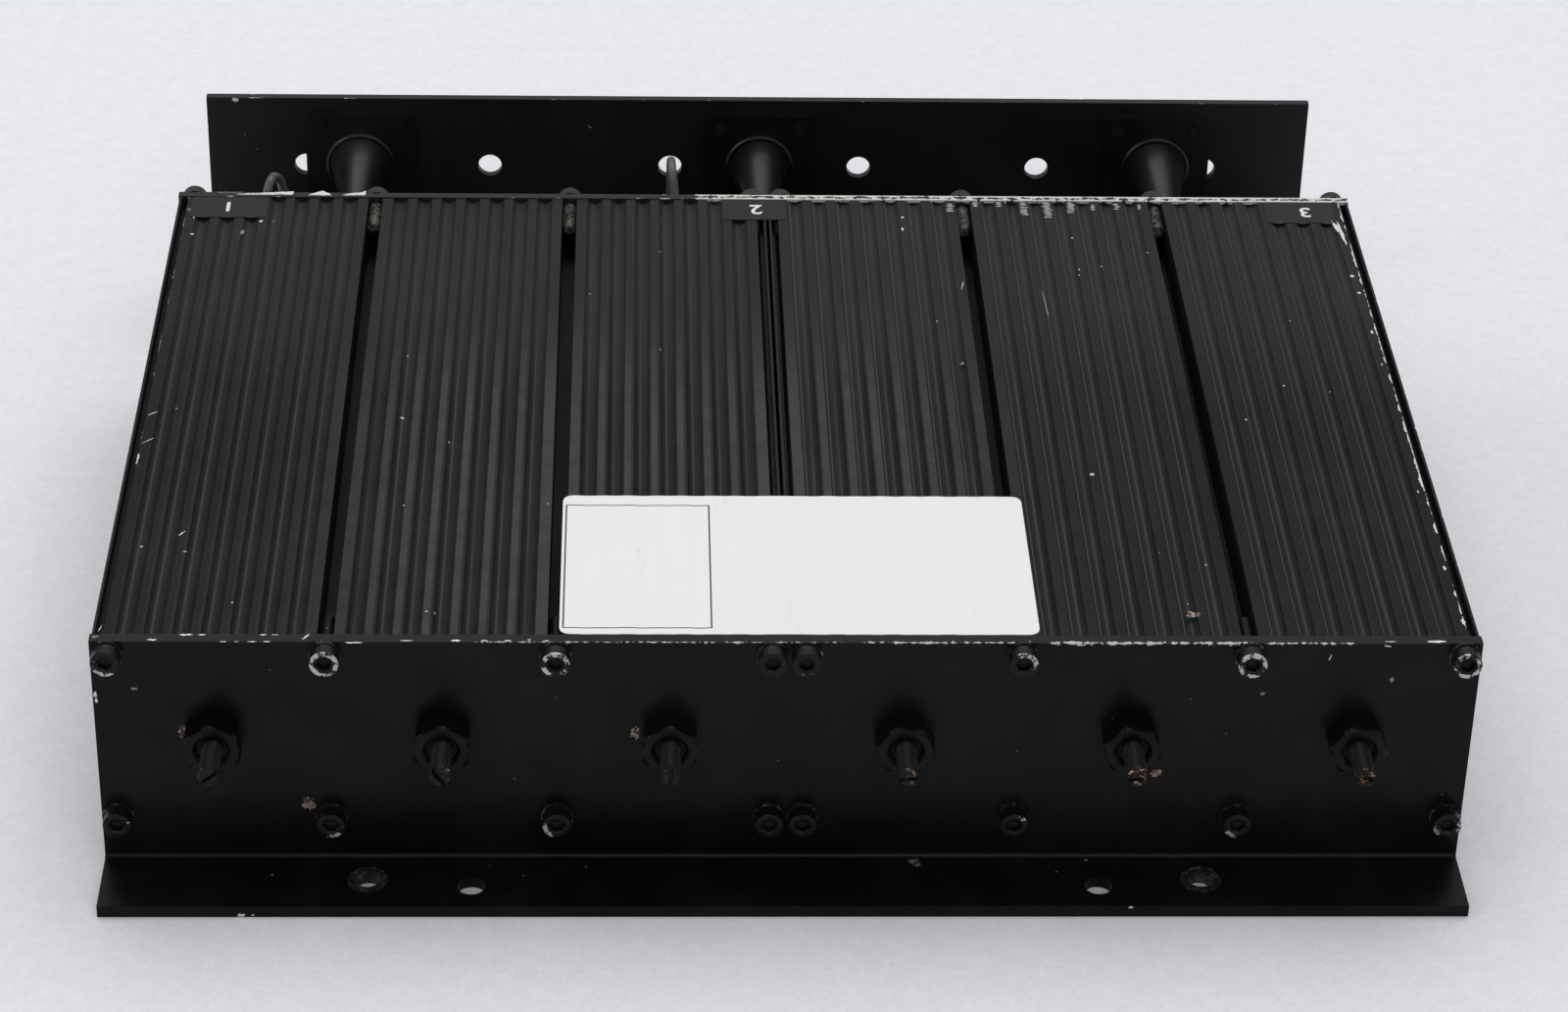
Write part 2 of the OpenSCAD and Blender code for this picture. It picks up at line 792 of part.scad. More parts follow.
function tangents(path) =
    let (last = len(path) - 1)
    [for (k = [0 : last]) unit(path[min(k + 1, last)] - path[max(k - 1, 0)])];

// one direction square to the path at each of its points, carried along without twist
function carried(t, k, side) =
    k == len(t) ? [] : let (m = unit(side - t[k] * (side * t[k]))) concat([m], carried(t, k + 1, m));

// round tube along the corner points of a lead
module lead(points, r) {
    path = rounded_path(points, r);
    t = tangents(path);
    u = carried(t, 0, [1, 0.3, 0.2]);
    count = len(path);
    rings = [for (k = [0 : count - 1], s = [0 : lead_sides - 1])
        let (w = cross(t[k], u[k]), turn = 360 * s / lead_sides)
        path[k] + (u[k] * cos(turn) + w * sin(turn)) * lead_d / 2];
    walls = [for (k = [0 : count - 2], s = [0 : lead_sides - 1])
        let (next = (s + 1) % lead_sides, a = k * lead_sides, b = a + lead_sides)
        [a + s, b + s, b + next, a + next]];
    front = [for (s = [0 : lead_sides - 1]) s];
    back = [for (s = [lead_sides - 1 : -1 : 0]) (count - 1) * lead_sides + s];
    polyhedron(rings, concat(walls, [front, back]), convexity = 8);
}

// where a lead leaves a port, on its left (-1) or its right (1)
function port_exit(n, side) = [cavity_x[n - 1] + side * sleeve_x, port_end_y, port_z];

// flat loop from the right side of port n to the left side of the next
module link(n) {
    a = port_exit(n, 1);
    b = port_exit(n + 1, -1);
    out = [0, link_l - sleeve_l - port_barrel_l - port_base_t, 0];
    lead([a, a + out, b + out, b], link_bend);
}

// lead from a port over its bends to below the hood's neck at x, and up into that neck
module port_lead(start, bends, x, drop) {
    corner = [x, neck_y - hood_turn, conn_z];
    neck_end = [x, neck_y + neck_l - run_fit, conn_z];
    lead(concat([start, start + [0, lead_straight, 0]], [for (b = bends) start + b],
                [corner - [0, 0, drop], corner, neck_end]), lead_bend);
}

module left_harness() {
    color([0.3, 0.3, 0.3])
        at_place() {
            port_lead(port_exit(1, -1), left_outer_bends, -conn_x, left_drop);
            link(1);
            link(2);
            port_lead(port_exit(3, 1), left_inner_bends, -twin_x, twin_left_drop);
        }
}

module right_harness() {
    color([0.3, 0.3, 0.3])
        at_place() {
            port_lead(port_exit(4, -1), right_inner_bends, twin_x, twin_right_drop);
            link(4);
            link(5);
            port_lead(port_exit(6, 1), right_outer_bends, conn_x, right_drop);
        }
}

// Labels

module paper_label() {
    color([0.9, 0.9, 0.88])
        at_place()
            translate([label_x, front_t + label_margin + label_l / 2, block_top])
                linear_extrude(label_t) rounded_square(label_w, label_l, label_corner_r);
}

// strips against the rear plate, each over one span of x
module tape_labels() {
    color([0.05, 0.05, 0.05])
        at_place()
            for (span = tape_spans)
                translate([span[0], rear_y - tape_l, block_top]) cube([span[1] - span[0], tape_l, tape_t]);
}

front_plate();
rear_tray();
block(-block_x);  // left_block
block(block_x);  // right_block
for (n = cavities) {
    resonator(n);
    tuning_screw(n);
    tuning_probe(n);
    tuning_bush(n);
    coupling_port(n);
}
for (n = connectors) {
    connector(n);
    connector_hood(n);
}
lock_nuts();
resonator_screws();
coupling_loops();
flange_inserts();
front_cap_screws();
front_washers();
rear_cap_screws();
rear_washers();
connector_insulators();
connector_contacts();
connector_screws();
left_harness();
right_harness();
paper_label();
tape_labels();
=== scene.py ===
import math
import random

import bpy
import bmesh
from mathutils import Matrix, Vector


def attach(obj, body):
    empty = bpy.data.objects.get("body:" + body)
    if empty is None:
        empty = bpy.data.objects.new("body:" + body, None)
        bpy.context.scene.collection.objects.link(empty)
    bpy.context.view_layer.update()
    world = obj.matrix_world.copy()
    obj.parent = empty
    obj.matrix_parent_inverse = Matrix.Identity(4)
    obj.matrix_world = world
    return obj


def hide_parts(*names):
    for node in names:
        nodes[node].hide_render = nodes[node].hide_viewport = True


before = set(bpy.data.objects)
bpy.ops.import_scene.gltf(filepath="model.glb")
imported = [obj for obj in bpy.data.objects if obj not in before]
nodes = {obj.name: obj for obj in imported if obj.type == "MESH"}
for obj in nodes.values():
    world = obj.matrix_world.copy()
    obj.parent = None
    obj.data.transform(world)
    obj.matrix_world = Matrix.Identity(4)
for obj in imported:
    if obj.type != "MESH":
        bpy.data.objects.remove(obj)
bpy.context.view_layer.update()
print("frame loaded")

# sizes in millimetres, with y counted from the front face of the front plate
unit = {
    "midY": 118.1, "plateWidth": 260.0, "plateHeight": 52.0, "frontThick": 2.5, "flangeReach": 15.8,
    "blockLift": 9.4, "blockTop": 51.8, "blockWidth": 129.35, "blockX": 65.025, "cavityPitch": 42.85,
    "flutePitch": 5.3, "fluteWidth": 3.4, "landWidth": 39.65,
    "rearY": 177.0, "bayY": 179.0, "panelY": 233.0, "panelBack": 235.0,
    "panelWidth": 258.0, "panelHeight": 48.5, "axisZ": 30.6, "connectorZ": 32.4,
    "cavityX": (-107.875, -65.025, -22.175, 22.175, 65.025, 107.875),
    "capX": (-126.85, -86.45, -43.6, -3.2, 3.2, 43.6, 86.45, 126.85),
    "capZ": (12.1, 49.1),
}


def place(x, y, z):
    return Vector((x / 1000, (y - unit["midY"]) / 1000, z / 1000))


# camera

view = {
    "place": (-0.02868, -0.76533, 0.48490), "yaw": 2.383, "pitch": 31.885, "roll": 1.424,
    "focalPixels": 4267.84, "imageWidth": 1600, "imageHeight": 1033, "sensor": 36.0,
}


def cameraAxes():
    yaw = math.radians(view["yaw"])
    pitch = math.radians(view["pitch"])
    roll = math.radians(view["roll"])
    ahead = Vector((math.sin(yaw) * math.cos(pitch), math.cos(yaw) * math.cos(pitch), -math.sin(pitch)))
    level = Vector((math.cos(yaw), -math.sin(yaw), 0))
    upright = level.cross(ahead)
    right = math.cos(roll) * level + math.sin(roll) * upright
    up = -math.sin(roll) * level + math.cos(roll) * upright
    return right, up, ahead


def addObject(name, data):
    made = bpy.data.objects.new(name, data)
    bpy.context.scene.collection.objects.link(made)
    return made


def makeCamera():
    right, up, ahead = cameraAxes()
    data = bpy.data.cameras.new("camera")
    data.sensor_fit = "HORIZONTAL"
    data.sensor_width = view["sensor"]
    data.lens = view["focalPixels"] * view["sensor"] / view["imageWidth"]
    data.clip_end = 50
    camera = addObject("camera", data)
    turned = Matrix((right, up, -ahead)).transposed().to_4x4()
    turned.translation = Vector(view["place"])
    camera.matrix_world = turned
    bpy.context.scene.camera = camera


def seenPoint(px, py, axis, level):
    # point of the plane axis = level, in metres, that the camera sees at a pixel
    right, up, ahead = cameraAxes()
    across = (px - view["imageWidth"] / 2) / view["focalPixels"]
    rise = (view["imageHeight"] / 2 - py) / view["focalPixels"]
    ray = ahead + across * right + rise * up
    start = Vector(view["place"])
    return start + ray * ((level - start[axis]) / ray[axis])


makeCamera()
print("camera set")

# shader helpers


def addNode(tree, kind, **settings):
    made = tree.nodes.new(kind)
    for name, value in settings.items():
        setattr(made, name, value)
    return made


def feed(tree, socket, value):
    # links a signal to a socket, or sets a plain number, vector or colour there
    if isinstance(value, Signal):
        tree.links.new(value.socket, socket)
    elif socket.type == "RGBA":
        socket.default_value = (*value, 1.0)
    else:
        socket.default_value = value


class Signal:
    # a value or vector in a shader tree that can be reckoned with like a number
    def __init__(self, tree, socket):
        self.tree = tree
        self.socket = socket

    def calc(self, operation, *values):
        kind = "ShaderNodeVectorMath" if self.socket.type == "VECTOR" else "ShaderNodeMath"
        made = addNode(self.tree, kind, operation=operation)
        for socket, value in zip(made.inputs, (self, *values)):
            feed(self.tree, socket, value)
        result = "Value" if operation == "DISTANCE" else 0
        return Signal(self.tree, made.outputs[result])

    def __add__(self, other):
        return self.calc("ADD", other)

    def __sub__(self, other):
        return self.calc("SUBTRACT", other)

    def __mul__(self, other):
        return self.calc("MULTIPLY", other)

    def __truediv__(self, other):
        return self.calc("DIVIDE", other)

    def __abs__(self):
        return self.calc("ABSOLUTE")

    def __lt__(self, other):
        return self.calc("LESS_THAN", other)

    def __gt__(self, other):
        return self.calc("GREATER_THAN", other)

    def least(self, other):
        return self.calc("MINIMUM", other)

    def most(self, other):
        return self.calc("MAXIMUM", other)

    def inverse(self):
        return self.calc("MULTIPLY_ADD", -1.0, 1.0)

    def step(self, low, high):
        made = addNode(self.tree, "ShaderNodeMapRange", interpolation_type="SMOOTHSTEP")
        for socket, given in zip(made.inputs, (self, low, high, 0.0, 1.0)):
            feed(self.tree, socket, given)
        return Signal(self.tree, made.outputs[0])

    def wrap(self, length):
        return self.calc("WRAP", length / 2, -length / 2)

    def split(self, kind="ShaderNodeSeparateXYZ"):
        parts = addNode(self.tree, kind)
        feed(self.tree, parts.inputs[0], self)
        return [Signal(self.tree, socket) for socket in parts.outputs]

    def noise(self, scale, detail=3.0, roughness=0.55):
        made = addNode(self.tree, "ShaderNodeTexNoise")
        values = {"Vector": self, "Scale": scale, "Detail": detail, "Roughness": roughness}
        for label, value in values.items():
            feed(self.tree, made.inputs[label], value)
        return Signal(self.tree, made.outputs["Fac"])

    def mix(self, first, second):
        made = addNode(self.tree, "ShaderNodeMix", data_type="RGBA")
        for k, value in ((0, self), (6, first), (7, second)):
            feed(self.tree, made.inputs[k], value)
        return Signal(self.tree, made.outputs[2])

    def use(self, group, **values):
        # results of a shader group that works at this position
        made = addNode(self.tree, "ShaderNodeGroup", node_tree=group)
        for label, value in (("Position", self), *values.items()):
            feed(self.tree, made.inputs[label], value)
        return {output.name: Signal(self.tree, output) for output in made.outputs}


def startGroup(name, **inputs):
    # the first input is the position; a tuple makes a vector input, a number a plain one
    group = bpy.data.node_groups.new(name, "ShaderNodeTree")
    for label, value in (("Position", (0, 0, 0)), *inputs.items()):
        kind = "NodeSocketVector" if isinstance(value, tuple) else "NodeSocketFloat"
        group.interface.new_socket(name=label, in_out="INPUT", socket_type=kind).default_value = value
    given = addNode(group, "NodeGroupInput").outputs
    return group, *(Signal(group, socket) for socket in given[:len(inputs) + 1])


def endGroup(group, **results):
    for label in results:
        group.interface.new_socket(name=label, in_out="OUTPUT", socket_type="NodeSocketFloat")
    out = addNode(group, "NodeGroupOutput").inputs
    for label, value in results.items():
        feed(group, out[label], value)
    return group


def buildEdgeDistance():
    # millimetres from a point on a box to the nearest edge of that box
    group, position, low, high = startGroup("edgeDistance", Low=(0, 0, 0), High=(0, 0, 0))
    x, y, z = abs(position - low).least(abs(high - position)).split()
    middle = x.least(y).most(x.most(y).least(z))
    return endGroup(group, Distance=middle * 1000.0)


def buildEdgeChips():
    # broken mask of paint lost within a width of an edge
    group, position, distance, width, amount, scale = startGroup(
        "edgeChips", Distance=1.0, Width=1.0, Amount=0.45, Scale=300.0)
    score = position.noise(scale, 2.0) * 0.68 + position.noise(scale * 5.0, 3.0, 0.7) * 0.32
    limit = amount.inverse() + distance / width
    return endGroup(group, Mask=score.step(limit, limit + 0.03))


def buildFineDust():
    # scattered light specks, and a soft film that lies thicker in places
    group, position, scale, amount = startGroup("fineDust", Scale=250.0, Amount=0.1)
    cells = addNode(group, "ShaderNodeTexVoronoi", feature="F1")
    feed(group, cells.inputs["Vector"], position)
    feed(group, cells.inputs["Scale"], scale)
    chosen, size, _ = Signal(group, cells.outputs["Color"]).split("ShaderNodeSeparateColor")
    speck = Signal(group, cells.outputs["Distance"]) < size * 0.08 + 0.03
    film = position.noise(scale * 0.12, 4.0, 0.6)
    return endGroup(group, Specks=(chosen < amount) * speck, Film=film.step(0.42, 0.72))


def buildDrawnGrain():
    # grain drawn out along one direction, as extrusion or turning leaves it
    group, position, stretch, scale = startGroup("drawnGrain", Stretch=(1.0, 0.02, 1.0), Scale=900.0)
    return endGroup(group, Value=(position * stretch).noise(scale, 3.0, 0.65))


def buildPaintSkin():
    # slow smudges, and the fine orange peel of sprayed paint
    group, position = startGroup("paintSkin")
    smudge = position.noise(22.0, 4.0, 0.6).step(0.35, 0.68)
    return endGroup(group, Smudge=smudge, Peel=position.noise(1400.0, 2.0, 0.5))


# settings of the fluted tops' marks; litX and litReach place a painted sheen on the middle lands, behind
# gives the depths over which painted light evens out the rear, line gives the soft width of the painted
# highlight line and of the second line
flutes = {
    "soft": 0.35, "line": (0.1, 0.34), "spare": 0.3, "behind": (80, 140),
    "litX": -0.022, "litReach": (0.042, 0.084), "faceSkin": 0.0004, "farOff": 50.0, "gapHalf": 0.005,
}


def buildFluteMarks():
    # the parts of a block's fluted top: the whole panels, the hollows, the painted highlight line in each
    # flute and a second line near its edge, the painted sheen on the middle lands and the rear where painted
    # light evens them out;
    # Edge is the distance in mm to the block's outer rim
    group, position, centre, shift, firstLine, secondLine = startGroup(
        "fluteMarks", Centre=0.0, Shift=0.0, FirstLine=0.0, SecondLine=0.0)
    x, y, z = position.split()
    across = (x - centre) * 1000.0
    local = across.wrap(unit["cavityPitch"])
    offset = local.wrap(unit["flutePitch"])
    half = unit["fluteWidth"] / 2
    fluted = abs(local) < 3 * unit["flutePitch"] + half + flutes["spare"]
    moved = abs((local - shift).wrap(unit["flutePitch"]))
    # the hollow mask sits shifted sideways, as the painted light and shade in the flutes does
    hollow = moved.step(half, half + flutes["soft"]).inverse()
    # the first line is a painted highlight along each flute; the second lies near each flute's edge
    lines = [abs(offset - line).step(*flutes["line"]).inverse() * fluted for line in (firstLine, secondLine)]
    # behind marks the rear, where painted light evens out lands and hollows
    behind = y.step(*(place(0, start, 0).y for start in flutes["behind"]))
    # painted sheen: lands across the middle are lightened in colour where they would reflect a lamp
    middle = abs(x - flutes["litX"]).step(*flutes["litReach"]).inverse()
    edge = abs(abs(across).calc("MULTIPLY_ADD", -1.0, unit["cavityPitch"] + unit["landWidth"] / 2))
    above = z > unit["blockTop"] / 1000 - flutes["faceSkin"]
    inner = abs(x) < unit["blockX"] / 1000
    hidden = (above.inverse() + inner) * flutes["farOff"]
    return endGroup(group, Panel=abs(local) < unit["landWidth"] / 2, Outer=abs(x) > flutes["gapHalf"],
                    Hollow=hollow * fluted, Line=lines[0], Second=lines[1], Edge=edge + hidden,
                    Lit=middle * behind.inverse(), Behind=behind)


topEdge = {"soft": 0.003, "skin": 0.0007}


def buildTopBand():
    # a stretch along X of the unit's upper edges, from the front back to a depth
    group, position, begin, end, back = startGroup("topBand", From=0.0, To=0.0, Back=0.0)
    x, y, z = position.split()
    band = x.step(begin, begin + topEdge["soft"]) * x.step(end - topEdge["soft"], end).inverse()
    return endGroup(group, Mask=band * (y < back) * (z > unit["plateHeight"] / 1000 - topEdge["skin"]))


def buildSpot():
    # ragged spot round one point
    group, position, centre, radius, ragged = startGroup("spot", Centre=(0, 0, 0), Radius=0.002, Ragged=0.5)
    shift = (position.noise(1500.0) - 0.5) * ragged
    edge = position.calc("DISTANCE", centre) / radius + shift * 3.0
    return endGroup(group, Mask=edge.step(0.8, 1.0).inverse())


edgeDistance = buildEdgeDistance()
edgeChips = buildEdgeChips()
fineDust = buildFineDust()
drawnGrain = buildDrawnGrain()
paintSkin = buildPaintSkin()
fluteMarks = buildFluteMarks()
topBand = buildTopBand()
spot = buildSpot()
print("shader groups built")


def startMaterial(name, colour, roughness, metallic=0.0, specular=0.5):
    material = bpy.data.materials.new(name)
    material.use_nodes = True
    tree = material.node_tree
    shader = tree.nodes["Principled BSDF"]
    setShader(tree, shader, colour=colour, roughness=roughness, metallic=metallic, specular=specular)
    return material, tree, shader, Signal(tree, addNode(tree, "ShaderNodeTexCoord").outputs["Object"])


shaderInputs = {
    "colour": "Base Color", "roughness": "Roughness", "metallic": "Metallic",
    "specular": "Specular IOR Level", "normal": "Normal",
}


def setShader(tree, shader, **values):
    for word, value in values.items():
        feed(tree, shader.inputs[shaderInputs[word]], value)


def addBump(tree, shader, height, strength, distance):
    bump = addNode(tree, "ShaderNodeBump")
    for label, value in (("Strength", strength), ("Distance", distance), ("Height", height)):
        feed(tree, bump.inputs[label], value)
    setShader(tree, shader, normal=Signal(tree, bump.outputs[0]))


def nearestEdge(position, boxes):
    distances = [position.use(edgeDistance, Low=low, High=high)["Distance"] for low, high in boxes]
    nearest = distances[0]
    for distance in distances[1:]:
        nearest = nearest.least(distance)
    return nearest


def chipMask(position, distance, width, amount, scale):
    return position.use(edgeChips, Distance=distance, Width=width, Amount=amount, Scale=scale)["Mask"]


# rubbed is a painted highlight: the lighter grey laid on top faces in place of the light falling on them
paint = {
    "black": (0.002, 0.002, 0.0023), "fade": 1.8, "rubbed": (0.0125, 0.0118, 0.012),
    "chip": (0.57, 0.56, 0.525), "dust": (0.12, 0.118, 0.115), "roughness": 0.28, "specular": 0.125,
}


def blackPaint(name, boxes, width, amount, scale=140.0, heavy=(), roughness=paint["roughness"],
               specular=paint["specular"], black=paint["black"], sheenTopFrom=None):
    # satin black paint over aluminium, with chips along the edges of the given boxes;
    # heavy lists (from x, to x, back to y, width, amount, scale) of top edges that lost more;
    # faces above the given top height are greyed by a painted highlight that stands in for light falling on
    # the top faces
    material, tree, shader, position = startMaterial(name, black, roughness, specular=specular)
    skin = position.use(paintSkin)
    dust = position.use(fineDust, Scale=620.0, Amount=0.012)
    distance = nearestEdge(position, boxes)
    chips = chipMask(position, distance, width, amount, scale)
    for fromX, toX, backTo, heavyWidth, heavyAmount, heavyScale in heavy:
        inside = position.use(topBand, From=fromX / 1000, To=toX / 1000, Back=place(0, backTo, 0).y)["Mask"]
        chips = chips.most(chipMask(position, distance, heavyWidth, inside * heavyAmount, heavyScale))
    colour = skin["Smudge"].mix(black, tuple(c * paint["fade"] for c in black))
    colour = (dust["Film"] * 0.02).mix(colour, paint["dust"])
    colour = dust["Specks"].mix(colour, paint["dust"])
    # painted highlight on the top faces, standing in for light from above
    if sheenTopFrom:
        top = sheenTopFrom / 1000
        colour = position.split()[2].step(top - 0.0005, top - 0.0001).mix(colour, paint["rubbed"])
    setShader(tree, shader, colour=chips.mix(colour, paint["chip"]), metallic=chips * 0.35,
              roughness=skin["Smudge"] * 0.07 + roughness + chips * 0.15)
    addBump(tree, shader, skin["Peel"] * 0.25 - chips * 0.8, 0.2, 0.00006)
    return material


anodised = {
    "dark": (0.0075, 0.0073, 0.0073), "brown": (0.014, 0.013, 0.0126),
    # flute colours paint the light and shade in the hollows
    "fluteCool": (0.0048, 0.005, 0.0054), "fluteWarm": (0.0082, 0.0073, 0.007),
    "landCool": (0.0019, 0.002, 0.0026), "landWarm": (0.0046, 0.0036, 0.0034),
    # lit colours are a painted sheen on the middle lands
    "litCool": (0.0295, 0.029, 0.0305), "litWarm": (0.0405, 0.0385, 0.039),
    # rear colours are painted light that evens out lands and hollows at the back
    "rearLitLand": (0.0126, 0.0121, 0.0124), "rearLitHollow": (0.0172, 0.0165, 0.017),
    # line is the colour of the painted highlight in the flutes
    "line": (0.034, 0.033, 0.033), "speck": (0.42, 0.41, 0.4), "bare": (0.6, 0.59, 0.57),
    "roughness": 0.44, "specular": 0.12, "chipWidth": 2.2, "chipScale": 260.0,
}


def blackAnodised(name, centre, amount, rimWidth, rimAmount, shift, firstLine, secondLine, secondColour):
    # anodised extrusion: drawn grain, land and hollow colours painted with light and shade, a painted
    # highlight line in each flute, bare spots on the block's edges
    material, tree, shader, position = startMaterial(name, anodised["dark"], anodised["roughness"],
                                                     specular=anodised["specular"])
    flute = position.use(fluteMarks, Centre=centre / 1000, Shift=shift, FirstLine=firstLine,
                         SecondLine=secondLine)
    grain = position.use(drawnGrain, Stretch=(1.0, 0.012, 1.0), Scale=700.0)["Value"]
    broad = position.use(drawnGrain, Stretch=(1.0, 0.08, 1.0), Scale=70.0)["Value"]
    skin = position.use(paintSkin)
    dust = position.use(fineDust, Scale=210.0, Amount=0.07)
    half = unit["blockWidth"] / 2
    distance = nearestEdge(position, [boxOf(centre - half, unit["frontThick"], unit["blockLift"],
                                            centre + half, unit["rearY"], unit["blockTop"])])
    rim = chipMask(position, flute["Edge"], rimWidth, rimAmount, anodised["chipScale"])
    chips = chipMask(position, distance, anodised["chipWidth"], amount, anodised["chipScale"])
    chips = chips.most(rim) * flute["Outer"]
    tone = (grain * 0.5 + broad * 0.5).step(0.4, 0.62)
    warmth = (position.noise(160.0) * 0.6 + broad * 0.4).step(0.4, 0.6)
    land = warmth.mix(anodised["landCool"], anodised["landWarm"])
    # painted light at the rear of the lands
    land = flute["Behind"].mix(land, anodised["rearLitLand"])
    # painted sheen on the middle lands, standing in for reflected light
    land = flute["Lit"].mix(land, warmth.mix(anodised["litCool"], anodised["litWarm"]))
    # hollow colours are painted light and shade in the flutes
    hollow = warmth.mix(anodised["fluteCool"], anodised["fluteWarm"])
    land = flute["Hollow"].mix(land, flute["Behind"].mix(hollow, anodised["rearLitHollow"]))
    colour = flute["Panel"].mix(tone.mix(anodised["dark"], anodised["brown"]), land)
    # painted highlight line in each flute, fainter towards the rear
    drawn = flute["Line"] * broad.step(0.3, 0.6) * flute["Behind"].calc("MULTIPLY_ADD", -0.3, 1.0)
    colour = drawn.mix(colour, anodised["line"])
    colour = (flute["Second"] * 0.8).mix(colour, secondColour)
    colour = (dust["Film"] * 0.03).mix(colour, paint["dust"])
    colour = dust["Specks"].mix(colour, anodised["speck"])
    setShader(tree, shader, colour=chips.mix(colour, anodised["bare"]), metallic=chips * 0.4,
              roughness=tone * 0.1 + anodised["roughness"] + skin["Smudge"] * 0.06)
    addBump(tree, shader, grain, 0.25, 0.00005)
    return material


def wornScrew(name, bareAmount, colour=(0.005, 0.005, 0.0052), bare=(0.55, 0.54, 0.5), scale=900.0,
              roughness=0.36, specular=0.16):
    # blackened steel rubbed through to bare metal in patches
    material, tree, shader, position = startMaterial(name, colour, roughness, specular=specular)
    fine = position.noise(scale * 4, 2.0, 0.6)
    score = position.noise(scale, 3.0, 0.6) * 0.75 + fine * 0.25
    mask = score.step(1.0 - bareAmount, 1.06 - bareAmount)
    setShader(tree, shader, colour=mask.mix(colour, bare), metallic=mask * 0.55,
              roughness=fine * 0.2 + (roughness - 0.08))
    addBump(tree, shader, fine, 0.3, 0.00006)
    return material


def turnedMetal(name, colour, tarnish, roughness=0.32, amount=0.5):
    # turned or drawn metal: fine tool lines and a patchy tarnish
    material, tree, shader, position = startMaterial(name, colour, roughness, 0.95)
    lines = position.use(drawnGrain, Stretch=(1.0, 40.0, 1.0), Scale=160.0)["Value"]
    mask = position.noise(210.0, 4.0, 0.65).step(1.0 - amount, 1.2 - amount)
    setShader(tree, shader, colour=mask.mix(colour, tarnish),
              roughness=lines * 0.16 + (roughness - 0.08) + mask * 0.2)
    addBump(tree, shader, lines, 0.2, 0.00004)
    return material


def softPlastic(name, colour, second, roughness=0.5, scale=600.0, bump=0.15, specular=0.5):
    material, tree, shader, position = startMaterial(name, colour, roughness, specular=specular)
    fine = position.noise(scale, 3.0, 0.65)
    smudge = position.use(paintSkin)["Smudge"]
    setShader(tree, shader, colour=((fine + smudge) * 0.5).mix(colour, second),
              roughness=smudge * 0.12 + (roughness - 0.05))
    addBump(tree, shader, fine, bump, 0.00008)
    return material


# sheet metal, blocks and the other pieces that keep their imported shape


def boxOf(lowX, lowY, lowZ, highX, highY, highZ):
    return place(lowX, lowY, lowZ), place(highX, highY, highZ)


def numbered(word, count):
    return [f"{word}_{k}" for k in range(1, count + 1)]


def paintWith(mesh, finish):
    mesh.materials.clear()
    mesh.materials.append(finish)


halfPlate = unit["plateWidth"] / 2
halfPanel = unit["panelWidth"] / 2
beyond = 20  # how far a box runs past the end of a face that has no edge there
farBeyond = 200
frontWall = boxOf(-halfPlate, 0, -beyond, halfPlate, unit["frontThick"], unit["plateHeight"])
flangeShelf = boxOf(-halfPlate, -unit["flangeReach"], 0, halfPlate, beyond, unit["frontThick"])
rearWall = boxOf(-halfPlate, unit["rearY"], 2, halfPlate, unit["bayY"], unit["plateHeight"])
panelWall = boxOf(-halfPanel, unit["panelY"], -beyond, halfPanel, unit["panelBack"], unit["panelHeight"])
trayFloor = boxOf(-halfPanel, unit["bayY"] - beyond, 0, halfPanel, unit["panelBack"] + beyond, 2)
hoodRim = boxOf(-farBeyond, unit["panelY"] - 1.2, -farBeyond, farBeyond, unit["panelY"], farBeyond)
frontLost = ((-62, 13, 1.2, 2.0, 0.53, 900), (11, 44.5, 1.2, 2.4, 0.57, 900),
             (46.5, 90, 1.2, 3.2, 0.58, 900), (87, 108, 1.2, 2.4, 0.56, 900))
rearLost = ((-60, -16, 178, 1.4, 0.48, 300), (-18, 132, 179.4, 5.0, 0.65, 520))
frontPaint = blackPaint("frontPaint", [frontWall, flangeShelf], 1.6, 0.34, heavy=frontLost,
                        sheenTopFrom=unit["plateHeight"])
trayPaint = blackPaint("trayPaint", [rearWall, panelWall, trayFloor], 2.0, 0.42, heavy=rearLost,
                       roughness=0.4, specular=0.24, black=(0.0046, 0.0046, 0.0049),
                       sheenTopFrom=unit["panelHeight"])
hoodPaint = blackPaint("hoodPaint", [hoodRim], 0.8, 0.36, 420.0, roughness=0.3, specular=0.32,
                       black=(0.0036, 0.0036, 0.004))
leftSkin = blackAnodised("leftSkin", -unit["blockX"], 0.36, 0.9, 0.46, -0.35, -0.45, -2.0,
                         (0.011, 0.0105, 0.0105))
rightSkin = blackAnodised("rightSkin", unit["blockX"], 0.42, 2.6, 0.56, 0.2, 0.35, -1.2,
                          (0.066, 0.064, 0.065))
darkWasher = wornScrew("darkWasher", 0.44, (0.007, 0.007, 0.007), (0.13, 0.13, 0.125))
insertMetal = wornScrew("insertMetal", 0.47, (0.006, 0.006, 0.0057), (0.09, 0.09, 0.085), 700.0, 0.42, 0.4)
hoodScrewMetal = wornScrew("hoodScrewMetal", 0.36, (0.008, 0.0078, 0.0078), (0.07, 0.067, 0.064), 700.0)
bushMetal = wornScrew("bushMetal", 0.3, (0.0025, 0.0024, 0.0023), (0.06, 0.05, 0.03), specular=0.08)
brass = turnedMetal("brass", (0.62, 0.45, 0.2), (0.3, 0.2, 0.09), 0.3, 0.5)
copperLoop = turnedMetal("copperLoop", (0.7, 0.36, 0.2), (0.25, 0.12, 0.07), 0.34, 0.5)
zincPlate = turnedMetal("zincPlate", (0.52, 0.52, 0.5), (0.3, 0.29, 0.27), 0.3, 0.48)
nickelPlate = turnedMetal("nickelPlate", (0.62, 0.61, 0.57), (0.4, 0.38, 0.33), 0.24, 0.45)
goldPlate = turnedMetal("goldPlate", (0.8, 0.58, 0.24), (0.5, 0.34, 0.14), 0.22, 0.42)
